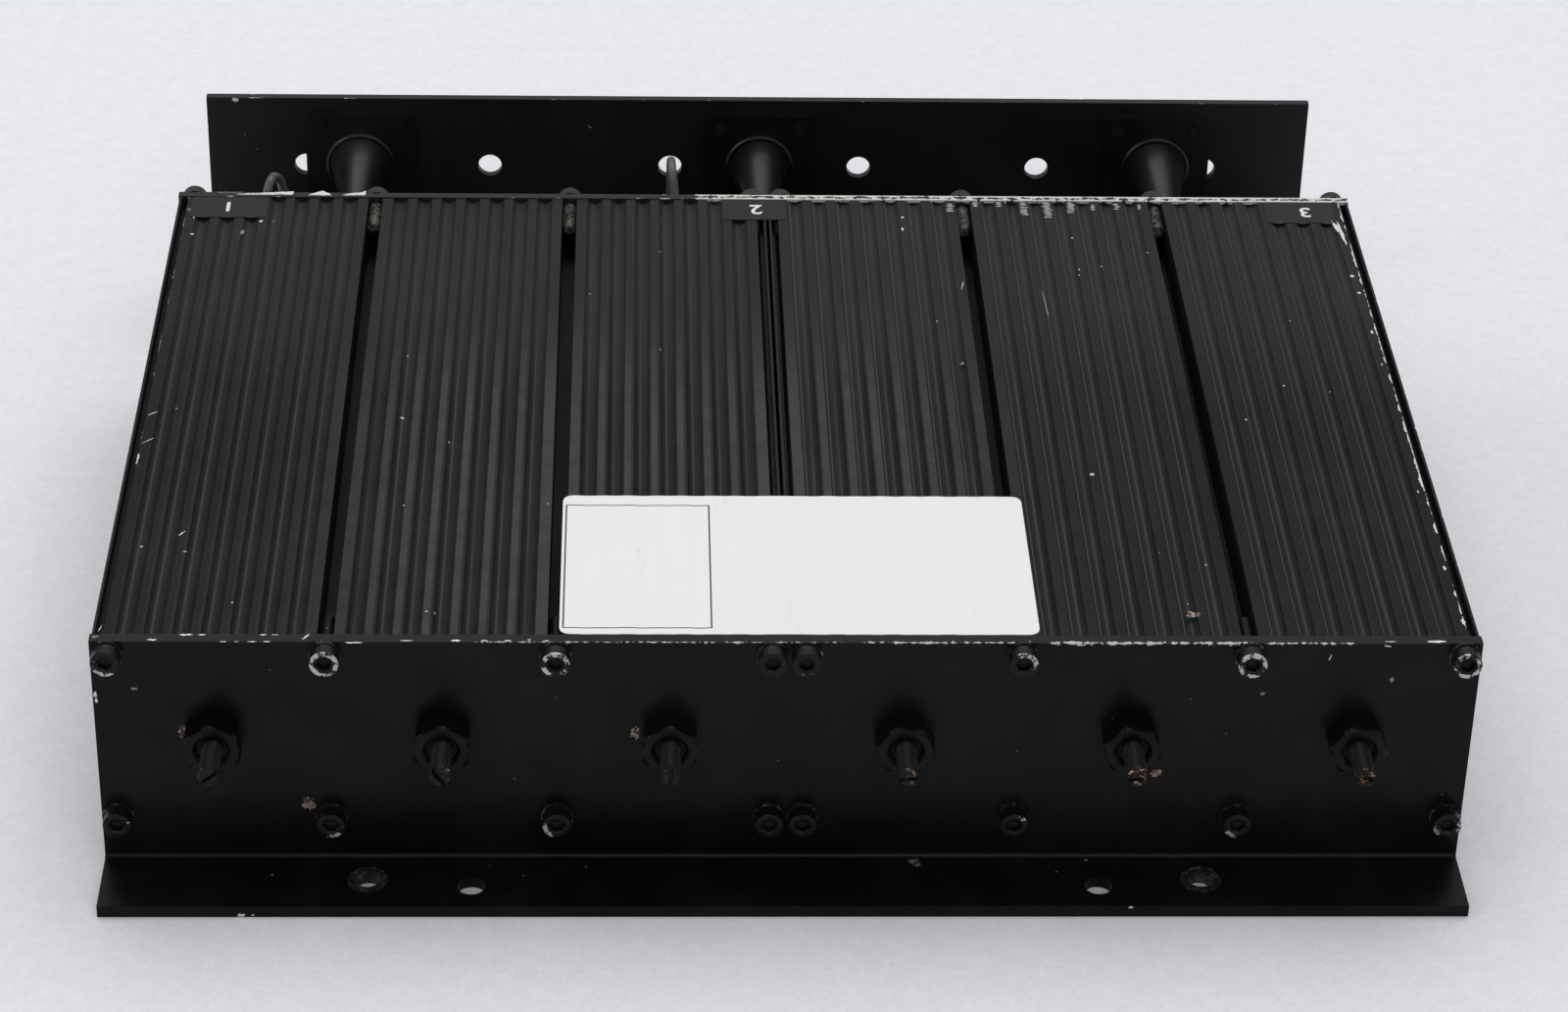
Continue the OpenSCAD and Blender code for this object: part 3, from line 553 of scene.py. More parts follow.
whiteInsulator = softPlastic("whiteInsulator", (0.78, 0.78, 0.75), (0.68, 0.67, 0.63), 0.42)
leadSheath = softPlastic("leadSheath", (0.045, 0.043, 0.042), (0.085, 0.082, 0.079), 0.38, 900.0)
dressing = (
    (["front_plate"], frontPaint), (["rear_tray"], trayPaint), (numbered("connector_hood", 3), hoodPaint),
    (["left_block"], leftSkin), (["right_block"], rightSkin),
    (numbered("resonator", 6) + numbered("tuning_probe", 6) + numbered("coupling_port", 6), brass),
    (numbered("tuning_bush", 6), bushMetal), (["coupling_loops"], copperLoop),
    (["resonator_screws"], zincPlate),
    (["connector_screws"], hoodScrewMetal), (["connector_insulators"], whiteInsulator),
    (["connector_contacts"], goldPlate), (["flange_inserts"], insertMetal),
    (["front_washers", "rear_washers"], darkWasher),
)
for names, finish in dressing:
    for name in names:
        paintWith(nodes[name].data, finish)
print("packed pieces dressed")

# mesh helpers


def bakedMesh(piece):
    return bpy.data.meshes.new_from_object(piece.evaluated_get(bpy.context.evaluated_depsgraph_get()))


def smoothToAngle(mesh, degrees):
    mesh.shade_smooth()
    mesh.set_sharp_from_angle(angle=math.radians(degrees))


def finishMesh(name, verts, faces, material, sharpAngle):
    mesh = bpy.data.meshes.new(name)
    mesh.from_pydata([tuple(v) for v in verts], [], faces)
    work = bmesh.new()
    work.from_mesh(mesh)
    bmesh.ops.recalc_face_normals(work, faces=work.faces)
    work.to_mesh(mesh)
    work.free()
    mesh.materials.append(material)
    smoothToAngle(mesh, sharpAngle)
    return addObject(name, mesh)


def addRings(shape, centre, facing, rings, count=48, turn=0.0, hollow=False):
    # rings round an axis along Y: each is (reach in mm, radius in mm or a function of the angle);
    # facing is 1 when they run back and -1 when they run forward; a hollow shape closes on itself
    verts, faces = shape
    first = len(verts)
    for reach, radius in rings:
        for k in range(count):
            angle = math.tau * k / count + turn
            size = radius(angle - turn) if callable(radius) else radius
            verts.append(place(centre[0] + size * math.cos(angle), centre[1] + facing * reach,
                               centre[2] + size * math.sin(angle)))
    rows = len(rings)
    last = rows if hollow else rows - 1
    for row in range(last):
        a = first + row * count
        b = first + (row + 1) % rows * count
        for k in range(count):
            nextK = (k + 1) % count
            faces.append((a + k, a + nextK, b + nextK, b + k))
    if not hollow:
        faces.append(tuple(first + k for k in range(count)))
        faces.append(tuple(first + (rows - 1) * count + k for k in range(count)))


def hexagon(acrossFlats, angle, cornerCut=0.985):
    inSector = (angle + math.pi / 6) % (math.pi / 3) - math.pi / 6
    # corners lie at angle 0, 60 and so on
    toFlat = math.pi / 6 - abs(inSector)
    return min(acrossFlats / 2 / math.cos(toFlat), acrossFlats / math.sqrt(3) * cornerCut)


# clamping screws, front and rear

capScrew = {
    "headRadius": 2.75, "headHeight": 3.0, "socket": 2.5, "shank": 12.0, "shankRadius": 1.5,
    "knurls": 24, "knurlDepth": 0.07, "washer": 0.5, "edge": 0.22, "seed": 7,
    "rimRows": (4, 5, 6, 7), "shankRow": 12,
    "upperArcs": (((250, 45, 0.85), (180, 30, 0.6)), ((0, 180, 0.86), (90, 60, 0.96), (250, 60, 0.96)),
                  ((80, 85, 0.82), (215, 25, 0.9)), (), ((270, 30, 0.5),), ((35, 40, 0.92), (95, 20, 0.6)),
                  ((90, 40, 0.95), (195, 25, 0.9), (270, 22, 0.95), (0, 22, 0.85)),
                  ((0, 180, 0.7), (255, 25, 0.95), (20, 40, 0.8))),
    # in the lower row, the second head's arc at the bottom of its rim is a painted highlight, not wear
    "lowerArcs": ((), ((285, 22, 0.9),), ((215, 28, 0.95),), (), (), ((60, 20, 0.6),), ((240, 25, 0.8),),
                  ((0, 25, 0.7), (200, 30, 0.7))),
    "unworn": 0.24, "frontShankWear": 0.3, "rearShankWear": 0.8, "threadPitch": 0.5,
    "thread": ((0, 0), (0.12, 0), (0.25, 0.22), (0.35, 0.22)), "sides": 72,
    "steel": (0.005, 0.005, 0.0052), "dull": (0.024, 0.0238, 0.022), "bare": (0.47, 0.47, 0.43),
    "rust": (0.15, 0.14, 0.12),
}


def markedMetal(name, colour, bare, roughness, metallic):
    # dark steel that shows the second colour in patches where the mesh's own mark of wear and painted glint
    # is high
    material, tree, shader, position = startMaterial(name, colour, roughness, specular=0.16)
    mark = Signal(tree, addNode(tree, "ShaderNodeAttribute", attribute_name="wearAndGlint").outputs["Fac"])
    patch = position.noise(900.0, 4.0, 0.65)
    mask = (patch + mark * 0.4).step(0.76, 0.86)
    setShader(tree, shader, colour=mask.mix(colour, bare), metallic=mask * metallic,
              roughness=patch * 0.2 + (roughness - 0.1))
    addBump(tree, shader, patch, 0.2, 0.00005)
    return material


def arcWearAndGlint(arcs, angle):
    # wear and painted glint at one direction of a head's rim, from arcs of (middle, half width, wear) in
    # degrees
    strongest = capScrew["unworn"]
    for middle, halfWidth, amount in arcs:
        aside = abs((math.degrees(angle) - middle + 180) % 360 - 180) / halfWidth
        strongest = max(strongest, amount * min(1, 1.3 - aside * 0.45))
    return strongest


def addCapScrew(shape, wearAndGlint, x, seatY, z, facing, turn, arcs, shankWear):
    # facing is the way the shank runs; reaches are counted from the head's outer face;
    # the wear and glint list gets one share for each corner of the mesh
    head = capScrew["headHeight"]
    outer = capScrew["headRadius"]
    edge = capScrew["edge"]
    core = capScrew["shankRadius"]
    tip = head + capScrew["shank"]
    sides = capScrew["sides"]
    start = (x, seatY - facing * head, z)

    def knurled(angle):
        return outer - capScrew["knurlDepth"] * (0.5 + 0.5 * math.cos(capScrew["knurls"] * angle))

    def socket(angle):
        return hexagon(capScrew["socket"], angle, 0.99)

    def socketMouth(angle):
        return hexagon(capScrew["socket"] + 0.6, angle, 0.92)

    rings = [(1.75, 0.05), (1.5, socket), (0.28, socket), (0.02, socketMouth), (0, 1.95),
             (0, outer - edge * 1.3), (edge * 0.3, outer - edge * 0.35), (edge, outer - 0.02),
             (edge + 0.15, knurled), (head - 0.3, knurled), (head - 0.15, outer), (head, outer - 0.05),
             (head, core + 0.1)]
    reach = head + 0.4
    while reach < tip - 0.5:
        rings += [(reach + along, core - 0.02 - deep) for along, deep in capScrew["thread"]]
        reach += capScrew["threadPitch"]
    rings += [(tip - 0.1, 1.1), (tip, 0.9)]
    addRings(shape, start, facing, rings, sides, turn)
    rim = [arcWearAndGlint(arcs, turn + math.tau * k / sides) for k in range(sides)]
    for row in range(len(rings)):
        plain = shankWear if row >= capScrew["shankRow"] else 0.0
        wearAndGlint += rim if row in capScrew["rimRows"] else [plain] * sides


def makeCapScrews():
    chance = random.Random(capScrew["seed"])
    blackHead = markedMetal("blackHead", capScrew["steel"], capScrew["bare"], 0.38, 0.5)
    oldShank = markedMetal("oldShank", capScrew["dull"], capScrew["rust"], 0.42, 0.2)
    front, frontWear, rear, rearWear = ([], []), [], ([], []), []
    rearSeat = unit["bayY"] + capScrew["washer"]
    for column, x in enumerate(unit["capX"]):
        for z, arcs in zip(unit["capZ"], (capScrew["lowerArcs"], capScrew["upperArcs"])):
            addCapScrew(front, frontWear, x, -capScrew["washer"], z, 1, chance.uniform(0, 6),
                        arcs[column], capScrew["frontShankWear"])
            addCapScrew(rear, rearWear, x, rearSeat, z, -1, chance.uniform(0, 6),
                        (), capScrew["rearShankWear"])
    for name, shape, wearAndGlint, finish in (("frontHeads", front, frontWear, blackHead),
                                      ("rearHeads", rear, rearWear, oldShank)):
        piece = finishMesh(name, *shape, finish, 35)
        piece.data.attributes.new("wearAndGlint", "FLOAT", "POINT").data.foreach_set("value", wearAndGlint)
        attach(piece, "root")
        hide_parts("rear_cap_screws" if name == "rearHeads" else "front_cap_screws")


makeCapScrews()
print("clamping screws made")

# lock nuts and tuning screws

tuning = {
    "nutFlats": 10.0, "nutThick": 5.2, "nutBore": 3.05, "nutTurn": (4, -3, 0, 24, 17, 23), "chamfer": 0.55,
    "steel": (0.0065, 0.0062, 0.006), "rubbed": (0.028, 0.026, 0.024), "tipUp": 0.9, "tipDeep": 0.2,
    "screwOut": 13.9, "screwRadius": 2.0, "pitch": 0.7, "threadDepth": 0.36, "threadEnd": 9.6,
    "screwEnd": 22.4, "pilotEnd": 26.35, "pilotRadius": 1.5, "slotTurn": (35, -52, 88, 4, 6, -4),
    "slotWidth": 0.9, "slotDeep": 1.5, "sharp": 38,
    "tipBare": (0.4, 0.42, 0.36, 0.45, 0.47, 0.46), "tipSide": (-0.6, 0.9, 0.0, 0.5, 0.4, -0.3),
    "tipColour": ((0.13, 0.11, 0.11), (0.35, 0.22, 0.1), (0.06, 0.055, 0.05), (0.2, 0.12, 0.08),
                  (0.5, 0.3, 0.22), (0.36, 0.2, 0.13)),
}


def makeLockNuts():
    verts, faces = [], []
    high = tuning["nutThick"]
    cut = tuning["chamfer"]
    flats = tuning["nutFlats"]
    bore = tuning["nutBore"]

    def full(angle):
        return hexagon(flats, angle)

    def chamfered(angle):
        return min(hexagon(flats, angle), flats / 2 + 0.02)

    rings = [(0, bore + 0.5), (0, flats / 2 - 0.35), (0.12, chamfered), (cut, full), (high - cut, full),
             (high - 0.12, chamfered), (high, flats / 2 - 0.3), (high, bore + 0.55), (high - 0.5, bore),
             (0.5, bore)]
    for x, turn in zip(unit["cavityX"], tuning["nutTurn"]):
        addRings((verts, faces), (x, 0, unit["axisZ"]), -1, rings, 96, math.radians(90 + turn), hollow=True)
    nutBox = boxOf(-farBeyond, -high, -farBeyond, farBeyond, 0, farBeyond)
    paintNut = blackPaint("nutPaint", [nutBox], 0.7, 0.36, 420.0, roughness=0.3)
    piece = finishMesh("lockNuts", verts, faces, paintNut, 22)
    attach(piece, "root")
    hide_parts("lock_nuts")


def screwMaterial(index):
    # dull black over brass; the tip is rubbed to the metal
    steel = tuning["steel"]
    material, tree, shader, position = startMaterial(f"tunerMetal{index + 1}", steel, 0.36, 0.1, 0.14)
    tip = place(unit["cavityX"][index] + tuning["tipSide"][index], tuning["tipDeep"] - tuning["screwOut"],
                unit["axisZ"] + tuning["tipUp"])
    patch = position.noise(900.0, 3.0, 0.6)
    limit = 1.0 - tuning["tipBare"][index]
    worn = position.use(spot, Centre=tip, Radius=0.0021, Ragged=0.5)["Mask"] * patch.step(limit, limit + 0.1)
    colour = (patch.step(0.5, 0.7) * 0.35).mix(steel, tuning["rubbed"])
    setShader(tree, shader, colour=worn.mix(colour, tuning["tipColour"][index]), metallic=worn * 0.35 + 0.1,
              roughness=patch * 0.22 + 0.25)
    addBump(tree, shader, patch, 0.2, 0.00005)
    return material


def threadAt(reach, outer, depth, pitch):
    # radius of a screw thread at one reach, as a function of the angle
    def radius(angle):
        phase = (reach / pitch + angle / math.tau) % 1
        flank = min(max(abs(phase * 2 - 1) * 1.5 - 0.25, 0), 1)
        return outer - depth * flank
    return radius


def makeTuningScrew(index):
    x = unit["cavityX"][index]
    outer = tuning["screwRadius"]
    rings = [(0, outer - 0.75), (0.02, outer - 0.5), (0.3, outer - 0.14)]
    step = tuning["pitch"] / 8
    reach = 0.36
    while reach < tuning["threadEnd"]:
        fade = min(1, (reach - 0.3) / 0.5)
        thread = threadAt(reach, outer - 0.1 * (1 - fade), tuning["threadDepth"] * fade, tuning["pitch"])
        rings.append((reach, thread))
        reach += step
    rings += [(tuning["threadEnd"] + 0.1, outer - 0.05), (tuning["screwEnd"], outer - 0.05),
              (tuning["screwEnd"], tuning["pilotRadius"]), (tuning["pilotEnd"], tuning["pilotRadius"])]
    shape = ([], [])
    addRings(shape, (x, -tuning["screwOut"], unit["axisZ"]), 1, rings, 40)
    piece = finishMesh(f"tuner{index + 1}", *shape, screwMaterial(index), tuning["sharp"])
    blade = bmesh.new()
    bmesh.ops.create_cube(blade, size=1)
    tilt = Matrix.Rotation(-math.radians(tuning["slotTurn"][index]), 4, "Y")
    size = Matrix.Diagonal((outer * 3 / 1000, tuning["slotDeep"] * 2 / 1000, tuning["slotWidth"] / 1000, 1))
    shift = Matrix.Translation(place(x, -tuning["screwOut"], unit["axisZ"]))
    blade.transform(shift @ tilt @ size)
    cutterMesh = bpy.data.meshes.new("blade")
    blade.to_mesh(cutterMesh)
    blade.free()
    cutter = addObject("blade", cutterMesh)
    carve = piece.modifiers.new("slot", "BOOLEAN")
    carve.operation = "DIFFERENCE"
    carve.solver = "EXACT"
    carve.object = cutter
    carved = bakedMesh(piece)
    piece.modifiers.clear()
    piece.data = carved
    smoothToAngle(carved, tuning["sharp"])
    bpy.data.objects.remove(cutter)
    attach(piece, f"screw_{index + 1}")
    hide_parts(f"tuning_screw_{index + 1}")


makeLockNuts()
for index in range(6):
    makeTuningScrew(index)
print("tuning screws and nuts made")

# leads in the wiring bay

lead = {
    "radius": 1.0, "bend": 4.0, "linkBend": 9.0, "linkReach": 34.0, "straight": 1.6, "sides": 20,
    "exitY": 187.0, "exitZ": 19.6, "sleeveX": 2.6, "neckY": 206.2, "neckEnd": 210.15, "turnAhead": 10.0,
    # chamber, side of its port, x of the hood's neck, drop before the neck and bends counted from the port
    "left": ((0, -1, -93.5, 9, ((-1.8, 8, 0.4), (-1.8, 8, 26), (0.4, 14.5, 26), (4.5, 14.5, 4.5))),
             (2, 1, -1.2, 20, ((2, 7, 0.4), (-1.2, 17, 26), (-1.4, 25, 25), (-1.4, 24, -8)))),
    "right": ((3, -1, 1.2, 18, ((0, 11, -3),)), (5, 1, 93.5, 10, ((0, 9, 6),))),
}


def bentPath(points, radius, steps=9):
    # the corners of a route rounded to one bend radius
    path = [points[0]]
    for before, corner, after in zip(points, points[1:], points[2:]):
        a = (before - corner).normalized()
        b = (after - corner).normalized()
        half = math.acos(max(-1, min(1, a.dot(b)))) / 2
        if half > math.radians(88):
            path.append(corner)
            continue
        middle = corner + (a + b).normalized() * radius / math.sin(half)
        across = (corner + a * radius / math.tan(half) - middle).normalized()
        turn = math.pi - 2 * half
        for k in range(steps + 1):
            angle = turn * k / steps
            path.append(middle + radius * (across * math.cos(angle) - a * math.sin(angle)))
    path.append(points[-1])
    return path


def addTube(shape, path, radius, sides):
    verts, faces = shape
    first = len(verts)
    last = len(path) - 1
    side = Vector((1, 0.3, 0.2))
    for k, point in enumerate(path):
        along = (path[min(k + 1, last)] - path[max(k - 1, 0)]).normalized()
        side = (side - along * side.dot(along)).normalized()
        other = along.cross(side)
        for s in range(sides):
            angle = math.tau * s / sides
            spoke = (side * math.cos(angle) + other * math.sin(angle)) * radius
            verts.append(place(*(point + spoke)))
    for k in range(last):
        for s in range(sides):
            a = first + k * sides + s
            b = first + k * sides + (s + 1) % sides
            faces.append((a, b, b + sides, a + sides))
    faces.append(tuple(first + s for s in range(sides)))
    faces.append(tuple(first + last * sides + s for s in range(sides)))


def portExit(index, side):
    return Vector((unit["cavityX"][index] + side * lead["sleeveX"], lead["exitY"], lead["exitZ"]))


def hoodLead(shape, index, side, x, drop, bends):
    start = portExit(index, side)
    corner = Vector((x, lead["neckY"] - lead["turnAhead"], unit["connectorZ"]))
    route = [start, start + Vector((0, lead["straight"], 0))] + [start + Vector(bend) for bend in bends]
    route += [corner - Vector((0, 0, drop)), corner, Vector((x, lead["neckEnd"], unit["connectorZ"]))]
    addTube(shape, bentPath(route, lead["bend"]), lead["radius"], lead["sides"])


def linkLead(shape, index):
    a = portExit(index, 1)
    b = portExit(index + 1, -1)
    out = Vector((0, lead["linkReach"], 0))
    addTube(shape, bentPath([a, a + out, b + out, b], lead["linkBend"], 16), lead["radius"], lead["sides"])


def makeHarness(name, node, firstIndex, routes):
    shape = ([], [])
    for route in routes:
        hoodLead(shape, *route)
    for index in (firstIndex, firstIndex + 1):
        linkLead(shape, index)
    piece = finishMesh(name, *shape, leadSheath, 50)
    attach(piece, "root")
    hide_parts(node)


makeHarness("leftLeads", "left_harness", 0, lead["left"])
makeHarness("rightLeads", "right_harness", 3, lead["right"])
print("leads made")

# connectors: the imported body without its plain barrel, and a threaded one in its place

connector = {
    "x": (-93.5, 0.0, 93.5), "barrelFrom": 240.0, "barrelTo": 252.0, "outer": 7.94, "pitch": 1.058,
    "depth": 0.6, "chamfer": 0.8, "mouth": 4.2, "innerReach": 5.5,
}


def makeConnector(index):
    x = connector["x"][index]
    source = nodes[f"connector_{index + 1}"]
    work = bmesh.new()
    work.from_mesh(source.data)
    start = place(x, connector["barrelFrom"], unit["connectorZ"])

    def onBarrel(face):
        away = face.calc_center_median() - start
        return away.y > 0.00005 and math.hypot(away.x, away.z) > connector["innerReach"] / 1000

    bmesh.ops.delete(work, geom=[face for face in work.faces if onBarrel(face)], context="FACES")
    mesh = bpy.data.meshes.new("connectorBody")
    work.to_mesh(mesh)
    work.free()
    paintWith(mesh, nickelPlate)
    body = addObject(f"connectorBody{index + 1}", mesh)
    outer = connector["outer"]
    length = connector["barrelTo"] - connector["barrelFrom"]
    rings = [(-0.2, outer - 0.9), (0.1, outer - 0.9), (0.3, outer - connector["depth"])]
    step = connector["pitch"] / 8
    reach = 0.5
    while reach < length - 0.3:
        limit = outer - max(0, reach - (length - connector["chamfer"]))
        thread = threadAt(reach, outer, connector["depth"], connector["pitch"])
        rings.append((reach, lambda angle, thread=thread, limit=limit: min(thread(angle), limit)))
        reach += step
    rings += [(length - 0.1, outer - connector["chamfer"]), (length, outer - connector["chamfer"] - 0.1),
              (length, connector["mouth"] + 0.25), (length - 0.25, connector["mouth"] + 0.01),
              (length - 9.9, connector["mouth"] + 0.01)]
    shape = ([], [])
    addRings(shape, (x, connector["barrelFrom"], unit["connectorZ"]), 1, rings, 72, hollow=True)
    barrel = finishMesh(f"threadedBarrel{index + 1}", *shape, nickelPlate, 40)
    for piece in (body, barrel):
        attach(piece, "root")
        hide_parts(f"connector_{index + 1}")


for index in range(3):
    makeConnector(index)
print("connectors made")

# labels

label = {
    "x": 2.0, "width": 90.0, "from": 2.8, "length": 49.0, "corner": 2.0, "thick": 0.15, "wave": 0.09,
    "lift": 0.05,
    "frame": (-42.3, 4.9, -14.5, 48.2), "line": 0.3, "cell": 1.0, "scuff": (0.45, 0.45, 0.45),
    "paper": (0.76, 0.765, 0.765), "shade": (0.66, 0.665, 0.67), "ink": (0.03, 0.03, 0.032),
}


def roundCorner(along, across, width, length, radius):
    # moves a point of a square corner onto the rounded one
    baseX = min(max(along, radius), width - radius)
    baseY = min(max(across, radius), length - radius)
    dx = along - baseX
    dy = across - baseY
    if dx == 0 or dy == 0:
        return along, across
    share = max(abs(dx), abs(dy)) / math.hypot(dx, dy)
    return baseX + dx * share, baseY + dy * share


def sheetShape(left, fromY, width, length, thick, cell, corner, drop):
    # thin sheet on the blocks; drop gives how far each point sinks
    columns = max(4, round(width / cell))
    rows = max(4, round(length / cell))
    verts, faces = [], []
    for height in (0.01, thick):
        for r in range(rows + 1):
            for c in range(columns + 1):
                a, b = roundCorner(width * c / columns, length * r / rows, width, length, corner)
                x = left + a
                y = fromY + b
                verts.append(place(x, y, unit["blockTop"] + height - drop(x, y)))
    up = (rows + 1) * (columns + 1)
    grid = [[r * (columns + 1) + c for c in range(columns + 1)] for r in range(rows + 1)]
    for near, away in zip(grid, grid[1:]):
        for a, b, c, d in zip(near, near[1:], away[1:], away):
            faces += [(a, d, c, b), (a + up, b + up, c + up, d + up)]
    rim = grid[0] + [row[-1] for row in grid[1:]] + grid[-1][-2::-1] + [row[0] for row in grid[-2:0:-1]]
    faces += [(a, b, b + up, a + up) for a, b in zip(rim, rim[1:] + rim[:1])]
    return verts, faces


def fluteDepthAt(x):
    # 1 over the middle of a flute, 0 over a land
    halfPitch = unit["cavityPitch"] / 2
    step = unit["flutePitch"]
    half = unit["fluteWidth"] / 2
    local = (x - math.copysign(unit["blockX"], x) + halfPitch) % unit["cavityPitch"] - halfPitch
    if abs(local) > 3 * step + half:
        return 0.0
    offset = (local + step / 2) % step - step / 2
    return max(0.0, 1 - (offset / half) ** 2)


def labelPaper():
    material, tree, shader, position = startMaterial("labelPaper", label["paper"], 0.42, specular=0.4)
    smudge = position.use(paintSkin)["Smudge"]
    fine = position.noise(1800.0, 3.0, 0.6)
    left, front, right, back = label["frame"]
    centre = place((left + right) / 2, (front + back) / 2, 0)
    x, y, z = position.split()
    outX = abs(x - centre.x) - (right - left) / 2000
    outY = abs(y - centre.y) - (back - front) / 2000
    line = abs(outX.most(outY)).step(label["line"] / 2200, label["line"] / 1600).inverse()
    line = line * fine.step(0.22, 0.32)
    scuff = position.use(drawnGrain, Stretch=(1.0, 0.12, 1.0), Scale=260.0)["Value"].step(0.62, 0.78) * 0.35
    colour = scuff.mix((smudge * 0.25).mix(label["paper"], label["shade"]), label["scuff"])
    setShader(tree, shader, colour=line.mix(colour, label["ink"]), roughness=smudge * 0.15 + 0.34)
    addBump(tree, shader, fine, 0.06, 0.00005)
    return material


def makeLabel():
    def drop(x, y):
        swell = 0.5 * math.sin(x * 0.31 + y * 0.07) ** 2
        return label["wave"] * (fluteDepthAt(x) * 0.7 + swell) - label["lift"]

    shape = sheetShape(label["x"] - label["width"] / 2, label["from"], label["width"], label["length"],
                       label["thick"], label["cell"], label["corner"], drop)
    piece = finishMesh("label", *shape, labelPaper(), 60)
    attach(piece, "root")
    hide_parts("paper_label")


tape = {
    "spans": ((-126.6, -110.1), (-9.8, 4.1), (110.7, 125.9)), "words": ("1", "2", "3"),
    "wordX": (-118.6, -2.4, 119.6), "wordIn": 4.6, "wordLift": 0.02, "wordThick": 0.03, "wordBold": 0.08,
    "depth": 9.5, "thick": 0.12, "cell": 0.5, "corner": 0.35, "sag": 0.32, "slack": (0.5, 0.3, 1.2),
    "sagReach": 3.2, "size": 6.0, "colour": (0.0055, 0.0055, 0.0058), "dusty": (0.011, 0.011, 0.011),
    "letter": (0.8, 0.8, 0.78), "faint": (0.6, 0.6, 0.58),
}


def makeTapes():
    film = softPlastic("tapeFilm", tape["colour"], tape["dusty"], 0.3, 500.0, 0.1, 0.22)
    front = unit["rearY"] - tape["depth"]
    verts, faces = [], []
    for (a, b), slack in zip(tape["spans"], tape["slack"]):
        def drop(x, y, slack=slack):
            near = max(0.0, 1 - (y - front) / tape["sagReach"])
            return tape["sag"] * slack * near * fluteDepthAt(x)

        more, sides = sheetShape(a, front, b - a, tape["depth"], tape["thick"], tape["cell"],
                                 tape["corner"], drop)
        offset = len(verts)
        verts += more
        faces += [tuple(k + offset for k in face) for face in sides]
    piece = finishMesh("tapes", verts, faces, film, 60)
    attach(piece, "root")
    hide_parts("tape_labels")


def makeNumerals():
    letterInk = softPlastic("tapeNumeral", tape["letter"], tape["faint"], 0.55, 900.0, 0.2)
    top = unit["blockTop"] + tape["thick"] + tape["wordLift"]
    for word, x in zip(tape["words"], tape["wordX"]):
        curve = bpy.data.curves.new("numeral" + word, "FONT")
        curve.body = word
        curve.size = tape["size"] / 1000
        curve.extrude = tape["wordThick"] / 1000
        curve.offset = tape["wordBold"] / 1000
        curve.align_x = "CENTER"
        curve.align_y = "CENTER"
        drawn = addObject("numeralCurve" + word, curve)
        mesh = bakedMesh(drawn)
        mesh.transform(Matrix.Translation(place(x, unit["rearY"] - tape["wordIn"], top))
                       @ Matrix.Rotation(math.pi, 4, "Z"))
        bpy.data.objects.remove(drawn)
        paintWith(mesh, letterInk)
        numeral = addObject("numeral" + word, mesh)
        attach(numeral, "root")


makeLabel()
makeTapes()
makeNumerals()
print("labels made")

# paint flakes: bare spots seen in the photograph, each laid on the face that carries it;
# a spot is pixel across, pixel down, size in mm, length over height, and a shade where it isn't bare;
# a scratch is its two ends in pixels and its width in mm, and a patch is an outline in pixels

